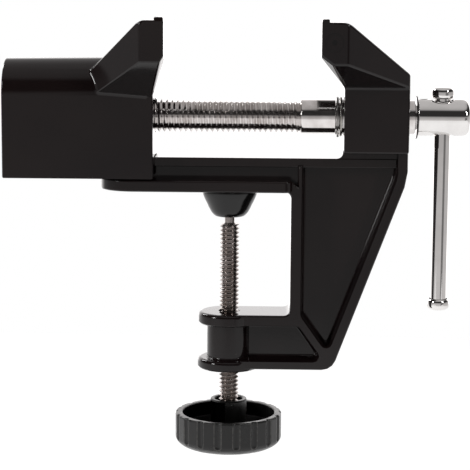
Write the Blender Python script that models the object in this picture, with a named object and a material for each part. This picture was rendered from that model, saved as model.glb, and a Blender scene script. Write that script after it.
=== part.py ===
"""Clamp-on bench vise with a sliding hollow jaw, a screw driven by a T-bar, and a table clamp."""

import math

import bmesh
import bpy
from mathutils import Matrix, Vector

# Lengths are in metres. X runs along the vise towards its handle, Y away from the viewer and Z up.
# The origin is on the clamp screw's axis, level with the face that rests on the table.

# Gaps and cuts that many pieces share
SEAT_GAP = 0.0003
SLIDE_GAP = 0.00035
THREAD_GAP = 0.00025
OVERRUN = 0.002
CAST_ROUNDING = 0.0005
HEAD_ROUNDING = 0.0008
MILLING_STOCK = 0.0012
TURNED_CHAMFER = 0.0005

# Table seat and the I-section rail above it
SEAT_THICKNESS = 0.0034
SEAT_WIDTH = 0.0210
SEAT_REACH = 0.0388
RAIL_REACH = 0.0370
RAIL_WEB_THICKNESS = 0.0050
RAIL_WEB_HEIGHT = 0.0038
FLANGE_WIDTH = 0.0110
FLANGE_THICKNESS = 0.0027

# C-shaped clamp frame below the seat
THROAT_REACH = 0.01835
THROAT_HEIGHT = 0.0372
THROAT_RADIUS = 0.0018
FRAME_WIDTH = 0.0160
FRAME_WEB_THICKNESS = 0.0050
UPRIGHT_THICKNESS = 0.00335
ARM_HEIGHT = 0.0165
ARM_TOP_RIM = 0.0033
ARM_BOTTOM_RIM = 0.0026
BACK_RIM = 0.0031
RIB_THICKNESS = 0.0025
KNEE_HEIGHT = 0.0040
KNEE_RADIUS = 0.0130
HEEL_RADIUS = 0.0044
BACK_SLANT = math.radians(20.5)
POCKET_DRAFT = 0.0005
POCKET_FILLET = 0.0007
POCKET_RADIUS = 0.0016

# Boss at the end of the arm that the clamp screw turns in
BOSS_RADIUS = 0.00665
COLLAR_RADIUS = 0.0093
COLLAR_THICKNESS = 0.0036
FOOT_COLLAR_RADIUS = 0.0095
FOOT_COLLAR_THICKNESS = 0.0032
FOOT_COLLAR_DROP = 0.0008
COLLAR_ROUNDING = 0.0011

# Fixed jaw: a block on the rail with a wide tapered head
SPINDLE_OVER_RAIL = 0.0121
BODY_WIDTH = 0.0215
BLOCK_SETBACK = 0.01525
BLOCK_LENGTH = 0.0191
BLOCK_OVER_RAIL = 0.0019
BLOCK_ROUNDING = 0.0014
BLOCK_FILLET = 0.0018
BLOCK_TOP_OVER_SPINDLE = 0.0091
JAW_WIDTH = 0.0500
JAW_TOP_OVER_SPINDLE = 0.0282
JAW_FACE_HEIGHT = 0.0096
CROWN_ROUNDING = 0.0015
FIXED_PLATEAU_DEPTH = 0.0076
FIXED_LIP_DEPTH = 0.0022
LIP_HEIGHT = 0.0009
LIP_FOOT = 0.0022
LIP_ROUNDING = 0.0003
LIP_SETBACK = 0.0001
FIXED_FLANK_HEIGHT = 0.0121
FIXED_OVERHANG = 0.0073
FIXED_UNDERCUT_DEPTH = 0.0033
FIXED_BACK_DROP = 0.0151
MARK_RADIUS = 0.0028
MARK_DEPTH = 0.0004
MARK_DIMPLE_RADIUS = 0.0008
MARK_INSET = 0.0036
MARK_DROP = 0.0057

# Moving jaw: a hollow arch that rides the rail, with a head that leans forward
JAW_OPENING = 0.0448
ARCH_RISE = 0.00665
ARCH_LENGTH = 0.0446
ARCH_TAPER = 0.0006
ARCH_WALL = 0.0020
ARCH_END_ROUNDING = 0.0005
SKIRT_CLEARANCE = 0.0004
MOVING_JAW_RISE = 0.0003
MOVING_PLATEAU_DEPTH = 0.0069
MOVING_LIP_DEPTH = 0.0027
MOVING_OVERHANG = 0.0040
MOVING_FLANK_HEIGHT = 0.0115
MOVING_UNDERCUT_DEPTH = 0.0011
MOVING_TOE_OVER_SPINDLE = 0.0060
MOVING_TOE_SETBACK = 0.0004
NECK_HEEL_RISE = 0.0011
MOVING_NECK_RUN = 0.0135
MOVING_BACK_SLOPE_SHARE = 0.96
NECK_ROOT_INSET = 0.00475
POST_RELIEF_LENGTH = 0.0032
NUT_HOUSING_LENGTH = 0.0145
FRONT_WALL = 0.0038

# Jaw nut and the dowel that stops it turning
NUT_RADIUS = 0.0070
NUT_FLANGE_RADIUS = 0.0079
NUT_FLANGE_THICKNESS = 0.0020
DOWEL_RADIUS = 0.0010
DOWEL_LENGTH = 0.0066

# Spindle: lead screw, hub, clip and washer
SCREW_RADIUS = 0.0050
SCREW_REACH = 0.0350
SCREW_END_CHAMFER = 0.0009
THREAD_END = 0.0202
THREAD_PITCH = 0.0015875
THREAD_DEPTH = 0.0009
THREAD_RUN_OUT = 0.0010
THREAD_LEAD_SHARE = 1.27
THREAD_STEPS = 12
SHANK_RADIUS = 0.00504
HUB_STANDOFF = 0.00255
HUB_LENGTH = 0.01605
HUB_RADIUS = 0.00552
HUB_END_ROUNDING = 0.0009
SPIGOT_RADIUS = 0.0035
SPIGOT_LENGTH = 0.0046
HUB_PIN_RADIUS = 0.0010
HUB_PIN_RECESS = 0.0007
CLIP_THICKNESS = 0.0006
CLIP_RADIUS = 0.0059
CLIP_PRONG_RADIUS = 0.0077
CLIP_GROOVE_DEPTH = 0.0009
CLIP_MOUTH = math.radians(84)
CLIP_PRONG_WIDTH = math.radians(20)
WASHER_THICKNESS = 0.0008
WASHER_RADIUS = 0.0059

# Sliding T-bar and its end caps
BAR_RADIUS = 0.00240
BAR_LENGTH = 0.0674
CAP_RADIUS = 0.00335
CAP_LENGTH = 0.0039
CAP_ROUNDING = 0.00115
CAP_BORE_DEPTH = 0.0026
SPOT_FACE_DEPTH = 0.0006

# Clamp pad, its retaining ring, the clamp screw and the knob
PAD_RADIUS = 0.0083
PAD_HEIGHT = 0.0079
PAD_WAIST_SHARES = ((0.00, 1.00), (0.20, 0.97), (0.38, 0.88), (0.70, 0.735), (0.85, 0.63), (1.00, 0.54))
BALL_RADIUS = 0.0023
BALL_DEPTH = 0.0049
SWIVEL_NECK_RADIUS = 0.0015
SWIVEL_NECK_END = 0.0105
RETAINER_RADIUS = 0.0030
RETAINER_THICKNESS = 0.0010
CLAMP_SCREW_RADIUS = 0.00297
CLAMP_SCREW_CHAMFER = 0.0006
KNOB_DROP = 0.0140
KNOB_RADIUS = 0.0162
KNOB_HEIGHT = 0.0105
KNOB_SIDE_HEIGHT = 0.0073
KNOB_WALL = 0.0021
KNOB_FLOOR = 0.0036
KNOB_BOTTOM_RADIUS = 0.0112
KNOB_RIM_ROUNDING = 0.0005
FLUTES = 18
FLUTE_WIDTH = 0.0022
FLUTE_DEPTH = 0.0005
FLUTE_FADE = 0.0008
FLUTE_ARC_SHARES = (-1, -0.62, 0, 0.62, 1)
FLUTE_FADE_SHARES = ((0.0, 1.0, 1.0), (0.65, 0.8, 0.75), (1.0, 0.0, 0.3))
KNOB_CURVE_SHARES = (0.35, 0.7, 1.0)
HUB_BOSS_RADIUS = 0.0055
HUB_BOSS_RISE = 0.0042
INSERT_RADIUS = 0.0040
INSERT_RECESS = 0.0016
KNOB_WEB = 0.0016
KNOB_SCREW_RADIUS = 0.0015
KNOB_SCREW_HEAD_RADIUS = 0.0034
KNOB_SCREW_HEAD_HEIGHT = 0.0018
KNOB_SCREW_GRIP = 0.0050

# Facets of round pieces
FINE = 36
MEDIUM = 28
COARSE = 20

# Heights and places worked out from the sizes
flange_bottom = SEAT_THICKNESS + RAIL_WEB_HEIGHT
rail_top = flange_bottom + FLANGE_THICKNESS
spindle_z = rail_top + SPINDLE_OVER_RAIL
body_half = BODY_WIDTH / 2
jaw_half = JAW_WIDTH / 2
frame_half = FRAME_WIDTH / 2
frame_web_half = FRAME_WEB_THICKNESS / 2
flange_half = FLANGE_WIDTH / 2
rail_web_half = RAIL_WEB_THICKNESS / 2
arm_top = -THROAT_HEIGHT
arm_bottom = arm_top - ARM_HEIGHT
block_left = THROAT_REACH + BLOCK_SETBACK
block_right = block_left + BLOCK_LENGTH
block_bottom = rail_top + BLOCK_OVER_RAIL
block_top = spindle_z + BLOCK_TOP_OVER_SPINDLE
jaw_top = spindle_z + JAW_TOP_OVER_SPINDLE
moving_top = jaw_top + MOVING_JAW_RISE
face_bottom = jaw_top - JAW_FACE_HEIGHT
fixed_face = block_left - FIXED_OVERHANG
moving_face = fixed_face - JAW_OPENING
arch_front = moving_face - MOVING_OVERHANG
arch_back = arch_front - ARCH_LENGTH
arch_centre = spindle_z + ARCH_RISE
skirt_bottom = SEAT_THICKNESS + SKIRT_CLEARANCE
cavity_half = body_half - ARCH_WALL
cavity_floor = rail_top + SLIDE_GAP
cavity_end = arch_front - NUT_HOUSING_LENGTH
hub_left = block_right + HUB_STANDOFF
hub_right = hub_left + HUB_LENGTH
bar_x = (hub_left + hub_right) / 2
washer_left = block_left - SEAT_GAP - WASHER_THICKNESS
clip_left = washer_left - SEAT_GAP - CLIP_THICKNESS
nut_bore = SCREW_RADIUS + SEAT_GAP
nut_seat = cavity_end - SEAT_GAP
nut_front = arch_front - FRONT_WALL
dowel_drop = NUT_RADIUS + SEAT_GAP / 2
upper_cap_bottom = spindle_z + HUB_RADIUS - SPOT_FACE_DEPTH + SEAT_GAP
upper_cap_top = upper_cap_bottom + CAP_LENGTH
lower_cap_bottom = upper_cap_top - BAR_LENGTH
lower_cap_top = lower_cap_bottom + CAP_LENGTH
pad_top = -SEAT_GAP
pad_bottom = pad_top - PAD_HEIGHT
ball_centre = pad_top - BALL_DEPTH
knob_top = arm_bottom - FOOT_COLLAR_DROP - KNOB_DROP
knob_bottom = knob_top - KNOB_HEIGHT
knob_floor = knob_bottom + KNOB_FLOOR
knob_hub_top = knob_top + HUB_BOSS_RISE
insert_top = knob_hub_top - INSERT_RECESS
counterbore_top = knob_bottom + KNOB_SCREW_HEAD_HEIGHT + 2 * SEAT_GAP
insert_bottom = counterbore_top + KNOB_WEB + SEAT_GAP
clamp_screw_end = insert_bottom + SEAT_GAP

X_AXIS = Vector((1, 0, 0))
Y_AXIS = Vector((0, 1, 0))
Z_AXIS = Vector((0, 0, 1))


def clear_scene():
    for thing in list(bpy.data.objects):
        bpy.data.objects.remove(thing)


def paint(name, colour, roughness, metallic):
    """A Principled material with one colour, roughness and metallic value."""
    made = bpy.data.materials.new(name)
    made.use_nodes = True
    shader = made.node_tree.nodes["Principled BSDF"]
    shader.inputs["Base Color"].default_value = (*colour, 1)
    shader.inputs["Roughness"].default_value = roughness
    shader.inputs["Metallic"].default_value = metallic
    return made


def joint_centre(name, place, parent=None):
    """An empty on a joint's axis, which the pieces that move there hang from."""
    empty = bpy.data.objects.new(name, None)
    bpy.context.scene.collection.objects.link(empty)
    empty.empty_display_size = HUB_RADIUS
    empty.parent = parent
    start = parent.matrix_world.translation if parent else Vector()
    empty.location = Vector(place) - start
    bpy.context.view_layer.update()
    return empty


def scratch(bm, name="scratch"):
    """Turns a bmesh into an object with its faces pointing out."""
    bmesh.ops.recalc_face_normals(bm, faces=bm.faces)
    mesh = bpy.data.meshes.new(name)
    bm.to_mesh(mesh)
    bm.free()
    made = bpy.data.objects.new(name, mesh)
    bpy.context.scene.collection.objects.link(made)
    return made


def combine(target, tools, operation):
    """Joins tools to the target or cuts them from it, one after the other."""
    for tool in tools:
        tool.hide_render = True
        tool.display_type = "WIRE"
        step = target.modifiers.new(operation.title(), "BOOLEAN")
        step.operation = operation
        step.object = tool
        graph = bpy.context.evaluated_depsgraph_get()
        result = bpy.data.meshes.new_from_object(target.evaluated_get(graph))
        target.modifiers.remove(step)
        target.data = result
        bpy.data.objects.remove(tool)
    return target


def join(target, *tools):
    return combine(target, tools, "UNION")


def cut(target, *tools):
    return combine(target, tools, "DIFFERENCE")


def tidy(target):
    """Merges the flat facets that cutting leaves behind."""
    bm = bmesh.new()
    bm.from_mesh(target.data)
    bmesh.ops.remove_doubles(bm, verts=bm.verts, dist=SEAT_GAP / 1000)
    bmesh.ops.dissolve_limit(bm, verts=bm.verts, edges=bm.edges, angle_limit=math.radians(0.2))
    bmesh.ops.triangulate(bm, faces=bm.faces)
    bmesh.ops.recalc_face_normals(bm, faces=bm.faces)
    bm.to_mesh(target.data)
    bm.free()


def finish(target, name, material, parent=None, smooth=30):
    """Names a piece, gives it its material and hangs it from its joint's centre."""
    tidy(target)
    target.name = name
    target.data.name = name
    target.data.materials.clear()
    target.data.materials.append(material)
    target.data.shade_smooth()
    target.data.set_sharp_from_angle(angle=math.radians(smooth))
    if parent:
        target.data.transform(Matrix.Translation(-parent.matrix_world.translation))
        target.parent = parent
    return target


def arc(centre, radius, start, end, steps):
    """Points along an arc in a plane, both ends included, angles in radians."""
    points = []
    for step in range(steps + 1):
        angle = start + (end - start) * step / steps
        points.append((centre[0] + radius * math.cos(angle), centre[1] + radius * math.sin(angle)))
    return points


def rounded(corners, steps=4):
    """An outline from (x, y, radius) corners, each turned into an arc where its radius isn't zero."""
    points = []
    count = len(corners)
    for index, (x, y, radius) in enumerate(corners):
        here = Vector((x, y))
        if radius == 0:
            points.append((x, y))
            continue
        before = (Vector(corners[index - 1][:2]) - here).normalized()
        after = (Vector(corners[(index + 1) % count][:2]) - here).normalized()
        half = before.angle(after) / 2
        middle = here + (before + after).normalized() * radius / math.sin(half)
        first = here + before * radius / math.tan(half) - middle
        last = here + after * radius / math.tan(half) - middle
        turn = first.angle_signed(last)
        arms = max(1, round(steps * abs(turn) / (math.pi / 2)))
        start = math.atan2(first.y, first.x)
        points += arc(middle, radius, start, start - turn, arms)
    return points


def offset(outline, distance):
    """An outline moved outwards by a distance, with its corners kept sharp."""
    area = sum(a[0] * b[1] - b[0] * a[1] for a, b in zip(outline, outline[1:] + outline[:1]))
    out = distance if area > 0 else -distance
    moved = []
    count = len(outline)
    for index, here in enumerate(outline):
        back = (Vector(here) - Vector(outline[index - 1])).normalized()
        ahead = (Vector(outline[(index + 1) % count]) - Vector(here)).normalized()
        normals = Vector((back.y, -back.x)) + Vector((ahead.y, -ahead.x))
        moved.append(tuple(Vector(here) + normals * out * 2 / normals.length_squared))
    return moved


def placed(point, level, axis):
    """A flat outline's point at a level along an axis: XZ along Y, XY along Z and YZ along X."""
    if axis == "X":
        return Vector((level, point[0], point[1]))
    if axis == "Y":
        return Vector((point[0], level, point[1]))
    return Vector((point[0], point[1], level))


def pulled(bm, face, keep=False):
    """Extrudes one face and returns the new one. The old face stays only as a solid's far end."""
    made = bmesh.ops.extrude_face_region(bm, geom=[face], use_keep_orig=True)
    if not keep:
        bmesh.ops.delete(bm, geom=[face], context="FACES_ONLY")
    return next(item for item in made["geom"] if isinstance(item, bmesh.types.BMFace))


def lofted(sections, axis):
    """A solid through (level, outline) sections that have the same number of points."""
    bm = bmesh.new()
    level, outline = sections[0]
    top = bm.faces.new([bm.verts.new(placed(point, level, axis)) for point in outline])
    for index, (level, outline) in enumerate(sections[1:]):
        top = pulled(bm, top, keep=index == 0)
        for vert, point in zip(top.verts, outline):
            vert.co = placed(point, level, axis)
    return bm


def prism(outline, low, high, axis):
    """A flat outline extruded between two levels of an axis."""
    return lofted([(low, outline), (high, outline)], axis)


def turned(profile, axis, centre, segments):
    """Spins a profile of (along, radius) points round an axis through a centre.
    A profile that starts off the axis is a closed ring."""
    bm = bmesh.new()
    out = X_AXIS if axis == Z_AXIS else Z_AXIS
    verts = [bm.verts.new(Vector(centre) + axis * along + out * radius) for along, radius in profile]
    pairs = list(zip(verts, verts[1:]))
    if profile[0][1] > 0:
        pairs.append((verts[-1], verts[0]))
    edges = [bm.edges.new(pair) for pair in pairs]
    bmesh.ops.spin(
        bm, geom=verts + edges, cent=centre, axis=axis, angle=math.tau, steps=segments, use_merge=True
    )
    bmesh.ops.remove_doubles(bm, verts=bm.verts, dist=SEAT_GAP / 1000)
    return bm


def threaded(axis, centre, radius, low, high):
    """A rod with a V thread: one pitch of its outline swept along a helix and cut off square at both ends."""
    bm = bmesh.new()
    out = X_AXIS if axis == Z_AXIS else Z_AXIS
    root = radius - THREAD_DEPTH
    start = low - THREAD_PITCH * THREAD_LEAD_SHARE
    outline = [(start, root), (start + THREAD_PITCH / 2, radius), (start + THREAD_PITCH, root)]
    verts = [bm.verts.new(Vector(centre) + axis * along + out * reach) for along, reach in outline]
    edges = [bm.edges.new(pair) for pair in zip(verts, verts[1:])]
    turns = math.ceil((high - start) / THREAD_PITCH) + 1
    bmesh.ops.spin(
        bm, geom=verts + edges, cent=centre, axis=axis, dvec=axis * THREAD_PITCH / THREAD_STEPS,
        angle=math.tau * turns, steps=THREAD_STEPS * turns
    )
    bmesh.ops.remove_doubles(bm, verts=bm.verts, dist=SEAT_GAP / 1000)
    for place, way in ((low, -1), (high, 1)):
        planed(bm, Vector(centre) + axis * place, axis * way)
    return bm


def planed(bm, place, out):
    """Cuts away what lies beyond a plane and closes the cut."""
    everything = bm.verts[:] + bm.edges[:] + bm.faces[:]
    made = bmesh.ops.bisect_plane(bm, geom=everything, plane_co=place, plane_no=out, clear_outer=True)
    rim = [item for item in made["geom_cut"] if isinstance(item, bmesh.types.BMEdge)]
    bmesh.ops.edgeloop_fill(bm, edges=rim)
    return bm


def rod(axis, centre, radius, low, high, segments=COARSE):
    """A plain cylinder between two places along an axis."""
    return turned([(low, 0), (low, radius), (high, radius), (high, 0)], axis, centre, segments)


def hull(points):
    """The convex solid round some points."""
    bm = bmesh.new()
    for point in points:
        bm.verts.new(point)
    made = bmesh.ops.convex_hull(bm, input=bm.verts)
    kept = {vert for item in made["geom"] if isinstance(item, bmesh.types.BMFace) for vert in item.verts}
    bmesh.ops.delete(bm, geom=[vert for vert in bm.verts if vert not in kept], context="VERTS")
    bmesh.ops.dissolve_limit(bm, verts=bm.verts, edges=bm.edges, angle_limit=math.radians(0.2))
    return bm


def round_edges(bm, width, segments, chosen):
    """Bevels the edges that a test picks."""
    edges = [edge for edge in bm.edges if chosen(edge)]
    bmesh.ops.bevel(
        bm, geom=edges, offset=width, segments=segments, profile=0.5, affect="EDGES", clamp_overlap=True
    )
    return bm


def level_edges(axis, *levels):
    """Picks the edges that lie in planes across an axis."""
    index = "XYZ".index(axis)
    near = SEAT_GAP / 100

    def chosen(edge):
        places = [vert.co[index] for vert in edge.verts]
        return any(all(abs(place - level) < near for place in places) for level in levels)

    return chosen


def mirrored(bm, axis):
    """The same shape on the other side of the middle plane."""
    flip = [-1 if letter == axis else 1 for letter in "XYZ"]
    bmesh.ops.scale(bm, vec=flip, verts=bm.verts)
    return bm


def table_seat():
    """The flat plate that rests on the table, rounded at its free end."""
    half = SEAT_WIDTH / 2
    end = THROAT_REACH + SEAT_GAP
    shoulder = half - frame_half
    outline = arc((-SEAT_REACH + half, 0), half, math.radians(90), math.radians(270), 16)
    outline += rounded([(0, -half, 0), (end, -half, shoulder), (end, half, shoulder), (0, half, 0)])[1:-1]
    bm = prism(outline, 0, SEAT_THICKNESS, "Z")
    return scratch(round_edges(bm, CAST_ROUNDING, 2, level_edges("Z", 0, SEAT_THICKNESS)))


def rail_web():
    """The upright web of the rail, sunk into the seat and the flange."""
    low = SEAT_THICKNESS / 2
    high = flange_bottom + FLANGE_THICKNESS / 2
    outline = [(-RAIL_REACH, low), (THROAT_REACH + UPRIGHT_THICKNESS, low)]
    outline += [(THROAT_REACH + UPRIGHT_THICKNESS, high), (-RAIL_REACH, high)]
    return scratch(prism(outline, -rail_web_half, rail_web_half, "Y"))


def rail_flange():
    """The flat track on top of the rail that the moving jaw slides on."""
    end = block_right - BACK_RIM
    outline = [(-RAIL_REACH, -flange_half), (end, -flange_half), (end, flange_half), (-RAIL_REACH, flange_half)]
    bm = prism(outline, flange_bottom, rail_top, "Z")
    return scratch(round_edges(bm, CAST_ROUNDING / 2, 2, lambda edge: True))


def block_foot():
    """The neck that carries the block on the rail, with the fillet at its front."""
    start = block_left - BLOCK_FILLET
    end = block_right - BACK_RIM / 2
    low = rail_top - FLANGE_THICKNESS / 2
    high = block_bottom + BLOCK_ROUNDING
    corners = [(start - SEAT_GAP, low, 0), (end, low, 0), (end, high, 0), (block_left, high, 0)]
    corners += [(block_left, rail_top, BLOCK_FILLET), (start - SEAT_GAP, rail_top, 0)]
    bm = prism(rounded(corners, 5), -flange_half + CAST_ROUNDING / 2, flange_half - CAST_ROUNDING / 2, "Y")
    return scratch(bm)


def back_line(inset, height):
    """Where the slanted back, moved inwards by an inset, is at a height."""
    knee = block_right - inset / math.cos(BACK_SLANT)
    return knee + (height - KNEE_HEIGHT) * math.tan(BACK_SLANT)


def frame_outline():
    """The C frame's outline in XZ, from the seat round the bend, the arm and the slanted back."""
    post_left = THROAT_REACH + UPRIGHT_THICKNESS * 0.6
    bend = (THROAT_REACH - THROAT_RADIUS, -THROAT_RADIUS)
    bend_radius = THROAT_RADIUS + SEAT_THICKNESS
    slab_top = flange_bottom + CAST_ROUNDING
    rim_inner = block_right - BACK_RIM
    start = bend[0] - SEAT_THICKNESS
    meets_post = math.acos((post_left - bend[0]) / bend_radius)
    corners = [
        (start, 0, 0),
        (THROAT_REACH, 0, THROAT_RADIUS),
        (THROAT_REACH, arm_top, THROAT_RADIUS),
        (BOSS_RADIUS / 2, arm_top, 0),
        (BOSS_RADIUS / 2, arm_bottom, 0),
        (back_line(0, arm_bottom), arm_bottom, HEEL_RADIUS),
        (block_right, KNEE_HEIGHT, KNEE_RADIUS),
        (block_right, block_bottom + BLOCK_ROUNDING, 0),
        (rim_inner, block_bottom + BLOCK_ROUNDING, 0),
        (rim_inner, slab_top, 0),
        (post_left, slab_top, 0),
    ]
    outline = rounded(corners, 4)
    outline += arc(bend, bend_radius, meets_post, math.radians(90), 3)
    outline.append((start, SEAT_THICKNESS))
    return outline


def rib_line(inset, height):
    """Where the diagonal rib's upper side, moved down by an inset, is at a height."""
    start = (THROAT_REACH + UPRIGHT_THICKNESS, arm_top)
    end = (back_line(BACK_RIM, arm_bottom + ARM_BOTTOM_RIM * 2), arm_bottom + ARM_BOTTOM_RIM * 2)
    run = (end[0] - start[0]) / (end[1] - start[1])
    shift = inset * math.sqrt(1 + run * run)
    return start[0] + (height - start[1]) * run - shift


def pocket(outline, side):
    """A cutter for a drafted pocket in one face of the frame, with a filleted floor and soft rims."""
    sections = []
    for depth, inset in (
        (frame_half - frame_web_half, POCKET_DRAFT + POCKET_FILLET),
        (frame_half - frame_web_half - POCKET_FILLET / 3, POCKET_DRAFT + POCKET_FILLET / 3),
        (frame_half - frame_web_half - POCKET_FILLET, POCKET_DRAFT),
        (CAST_ROUNDING, 0),
        (0, -CAST_ROUNDING / 2),
        (-OVERRUN, -CAST_ROUNDING / 2),
    ):
        sections.append((-frame_half + depth, offset(outline, -inset)))
    bm = lofted(sections, "Y")
    return scratch(bm if side < 0 else mirrored(bm, "Y"))


def pockets():
    """Cutters for the large pocket on both faces, and for the arm's pocket, which runs up to the boss."""
    slab_top = flange_bottom + CAST_ROUNDING
    left = THROAT_REACH + UPRIGHT_THICKNESS
    right = block_right - BACK_RIM
    rib_foot = arm_bottom + ARM_BOTTOM_RIM * 2
    large = rounded(
        [
            (left, slab_top + OVERRUN, 0),
            (left, arm_top, POCKET_RADIUS),
            (back_line(BACK_RIM, rib_foot), rib_foot, POCKET_RADIUS),
            (right, KNEE_HEIGHT + BACK_RIM * math.tan(BACK_SLANT / 2), KNEE_RADIUS / 2),
            (right, slab_top + OVERRUN, 0),
        ],
        3,
    )
    ceiling = arm_top - ARM_TOP_RIM
    floor = arm_bottom + ARM_BOTTOM_RIM
    small = rounded(
        [
            (0, ceiling, 0),
            (0, floor, 0),
            (rib_line(RIB_THICKNESS, floor), floor, POCKET_RADIUS),
            (rib_line(RIB_THICKNESS, ceiling), ceiling, POCKET_RADIUS),
        ],
        3,
    )
    return [pocket(outline, side) for outline in (large, small) for side in (-1, 1)]


def boss():
    """The round boss and its two collars, as one turned solid."""
    top = arm_top
    foot = arm_bottom - FOOT_COLLAR_DROP
    soft = COLLAR_ROUNDING
    profile = [(top, 0), (top, COLLAR_RADIUS - soft)]
    profile += [(top - soft * 0.3, COLLAR_RADIUS - soft * 0.3), (top - soft, COLLAR_RADIUS)]
    profile += [(top - COLLAR_THICKNESS + soft / 2, COLLAR_RADIUS)]
    profile += [(top - COLLAR_THICKNESS, COLLAR_RADIUS - soft / 2), (top - COLLAR_THICKNESS, BOSS_RADIUS + soft / 2)]
    profile += [(top - COLLAR_THICKNESS - soft / 2, BOSS_RADIUS)]
    rise = foot + FOOT_COLLAR_THICKNESS
    profile += [(rise + soft / 2, BOSS_RADIUS), (rise, BOSS_RADIUS + soft / 2), (rise, FOOT_COLLAR_RADIUS - soft)]
    profile += [(rise - soft * 0.3, FOOT_COLLAR_RADIUS - soft * 0.3), (rise - soft, FOOT_COLLAR_RADIUS)]
    profile += [(foot + soft / 2, FOOT_COLLAR_RADIUS), (foot, FOOT_COLLAR_RADIUS - soft / 2), (foot, 0)]
    return scratch(turned(profile, Z_AXIS, (0, 0, 0), FINE))


def jaw_lip(face, back, depth, top):
    """The low raised lip along the top of a jaw's clamping face, from flank to flank."""
    near = face + back * LIP_SETBACK
    far = face + back * depth
    half = jaw_half - LIP_SETBACK
    outline = [(near, -half), (far, -half), (far, half), (near, half)]
    bm = prism(outline, top - LIP_FOOT, top + LIP_HEIGHT, "Z")
    return scratch(round_edges(bm, LIP_ROUNDING, 1, level_edges("Z", top + LIP_HEIGHT)))


def stock_height(undercut_depth, flank_bottom):
    """How high the undercut meets the stock that stands in front of a jaw's face before milling."""
    return face_bottom + (face_bottom - flank_bottom) / undercut_depth * MILLING_STOCK


def round_head(bm, plateau_end, top):
    """Rounds the crown behind a head's plateau widely and then every other edge."""
    near = SEAT_GAP / 100

    def crown(edge):
        return all(abs(vert.co.x - plateau_end) < near and abs(vert.co.z - top) < near for vert in edge.verts)

    round_edges(bm, CROWN_ROUNDING, 4, crown)
    bm.normal_update()
    round_edges(bm, HEAD_ROUNDING, 2, lambda edge: edge.calc_face_angle(0) > math.radians(16))
    return bm


def fixed_jaw():
    """The head's hull with the block pulled down out of its underside, its face milled flat."""
    plateau_end = fixed_face + FIXED_PLATEAU_DEPTH
    flank_bottom = jaw_top - FIXED_FLANK_HEIGHT
    stock = fixed_face - MILLING_STOCK
    points = []
    for side in (-1, 1):
        wide = side * jaw_half
        narrow = side * body_half
        points += [(stock, wide, jaw_top), (plateau_end, wide, jaw_top)]
        points += [(plateau_end, wide, flank_bottom), (fixed_face + FIXED_UNDERCUT_DEPTH, wide, flank_bottom)]
        points += [(stock, wide, stock_height(FIXED_UNDERCUT_DEPTH, flank_bottom))]
        points += [(block_left, narrow, block_top), (block_right, narrow, block_top)]
        points += [(block_right, narrow, jaw_top - FIXED_BACK_DROP)]
    bm = hull(points)
    bmesh.ops.recalc_face_normals(bm, faces=bm.faces)
    underside = min(bm.faces, key=lambda face: face.normal.z)
    for vert in pulled(bm, underside).verts:
        vert.co.z = block_bottom
    round_head(bm, plateau_end, jaw_top)
    return scratch(planed(bm, X_AXIS * fixed_face, -X_AXIS))


def flank_mark():
    """Cutters for the shallow round mark on the fixed jaw's front flank and its dimple."""
    centre = (fixed_face + MARK_INSET, 0, jaw_top - MARK_DROP)
    flank = -jaw_half
    disc = rod(Y_AXIS, centre, MARK_RADIUS, flank - OVERRUN, flank + MARK_DEPTH, COARSE)
    dimple = rod(Y_AXIS, centre, MARK_DIMPLE_RADIUS, flank - OVERRUN, flank + MARK_DEPTH * 3, 10)
    return [scratch(disc), scratch(dimple)]


def clamp_frame(material):
    """The casting: seat, rail, ribbed C frame, boss, and the fixed jaw, all in one."""
    slab = round_edges(
        prism(frame_outline(), -frame_half, frame_half, "Y"),
        CAST_ROUNDING,
        2,
        level_edges("Y", -frame_half, frame_half),
    )
    body = cut(scratch(slab), *pockets())
    join(body, table_seat(), rail_web(), rail_flange(), boss(), block_foot(), fixed_jaw())
    join(body, jaw_lip(fixed_face, 1, FIXED_LIP_DEPTH, jaw_top))
    spindle_hole = rod(X_AXIS, (0, 0, spindle_z), SHANK_RADIUS + SEAT_GAP, block_left - OVERRUN,
                       block_right + OVERRUN, MEDIUM)
    screw_hole = rod(Z_AXIS, (0, 0, 0), CLAMP_SCREW_RADIUS + THREAD_GAP,
                     arm_bottom - FOOT_COLLAR_DROP - OVERRUN, arm_top + OVERRUN, MEDIUM)
    cut(body, scratch(spindle_hole), scratch(screw_hole), *flank_mark())
    return finish(body, "clamp_frame", material)


def tombstone(half, centre, bottom, steps):
    """An arch outline in YZ: upright sides under a half circle."""
    outline = [(-half, bottom), (half, bottom)]
    return outline + arc((0, centre), half, 0, math.pi, steps)


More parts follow.
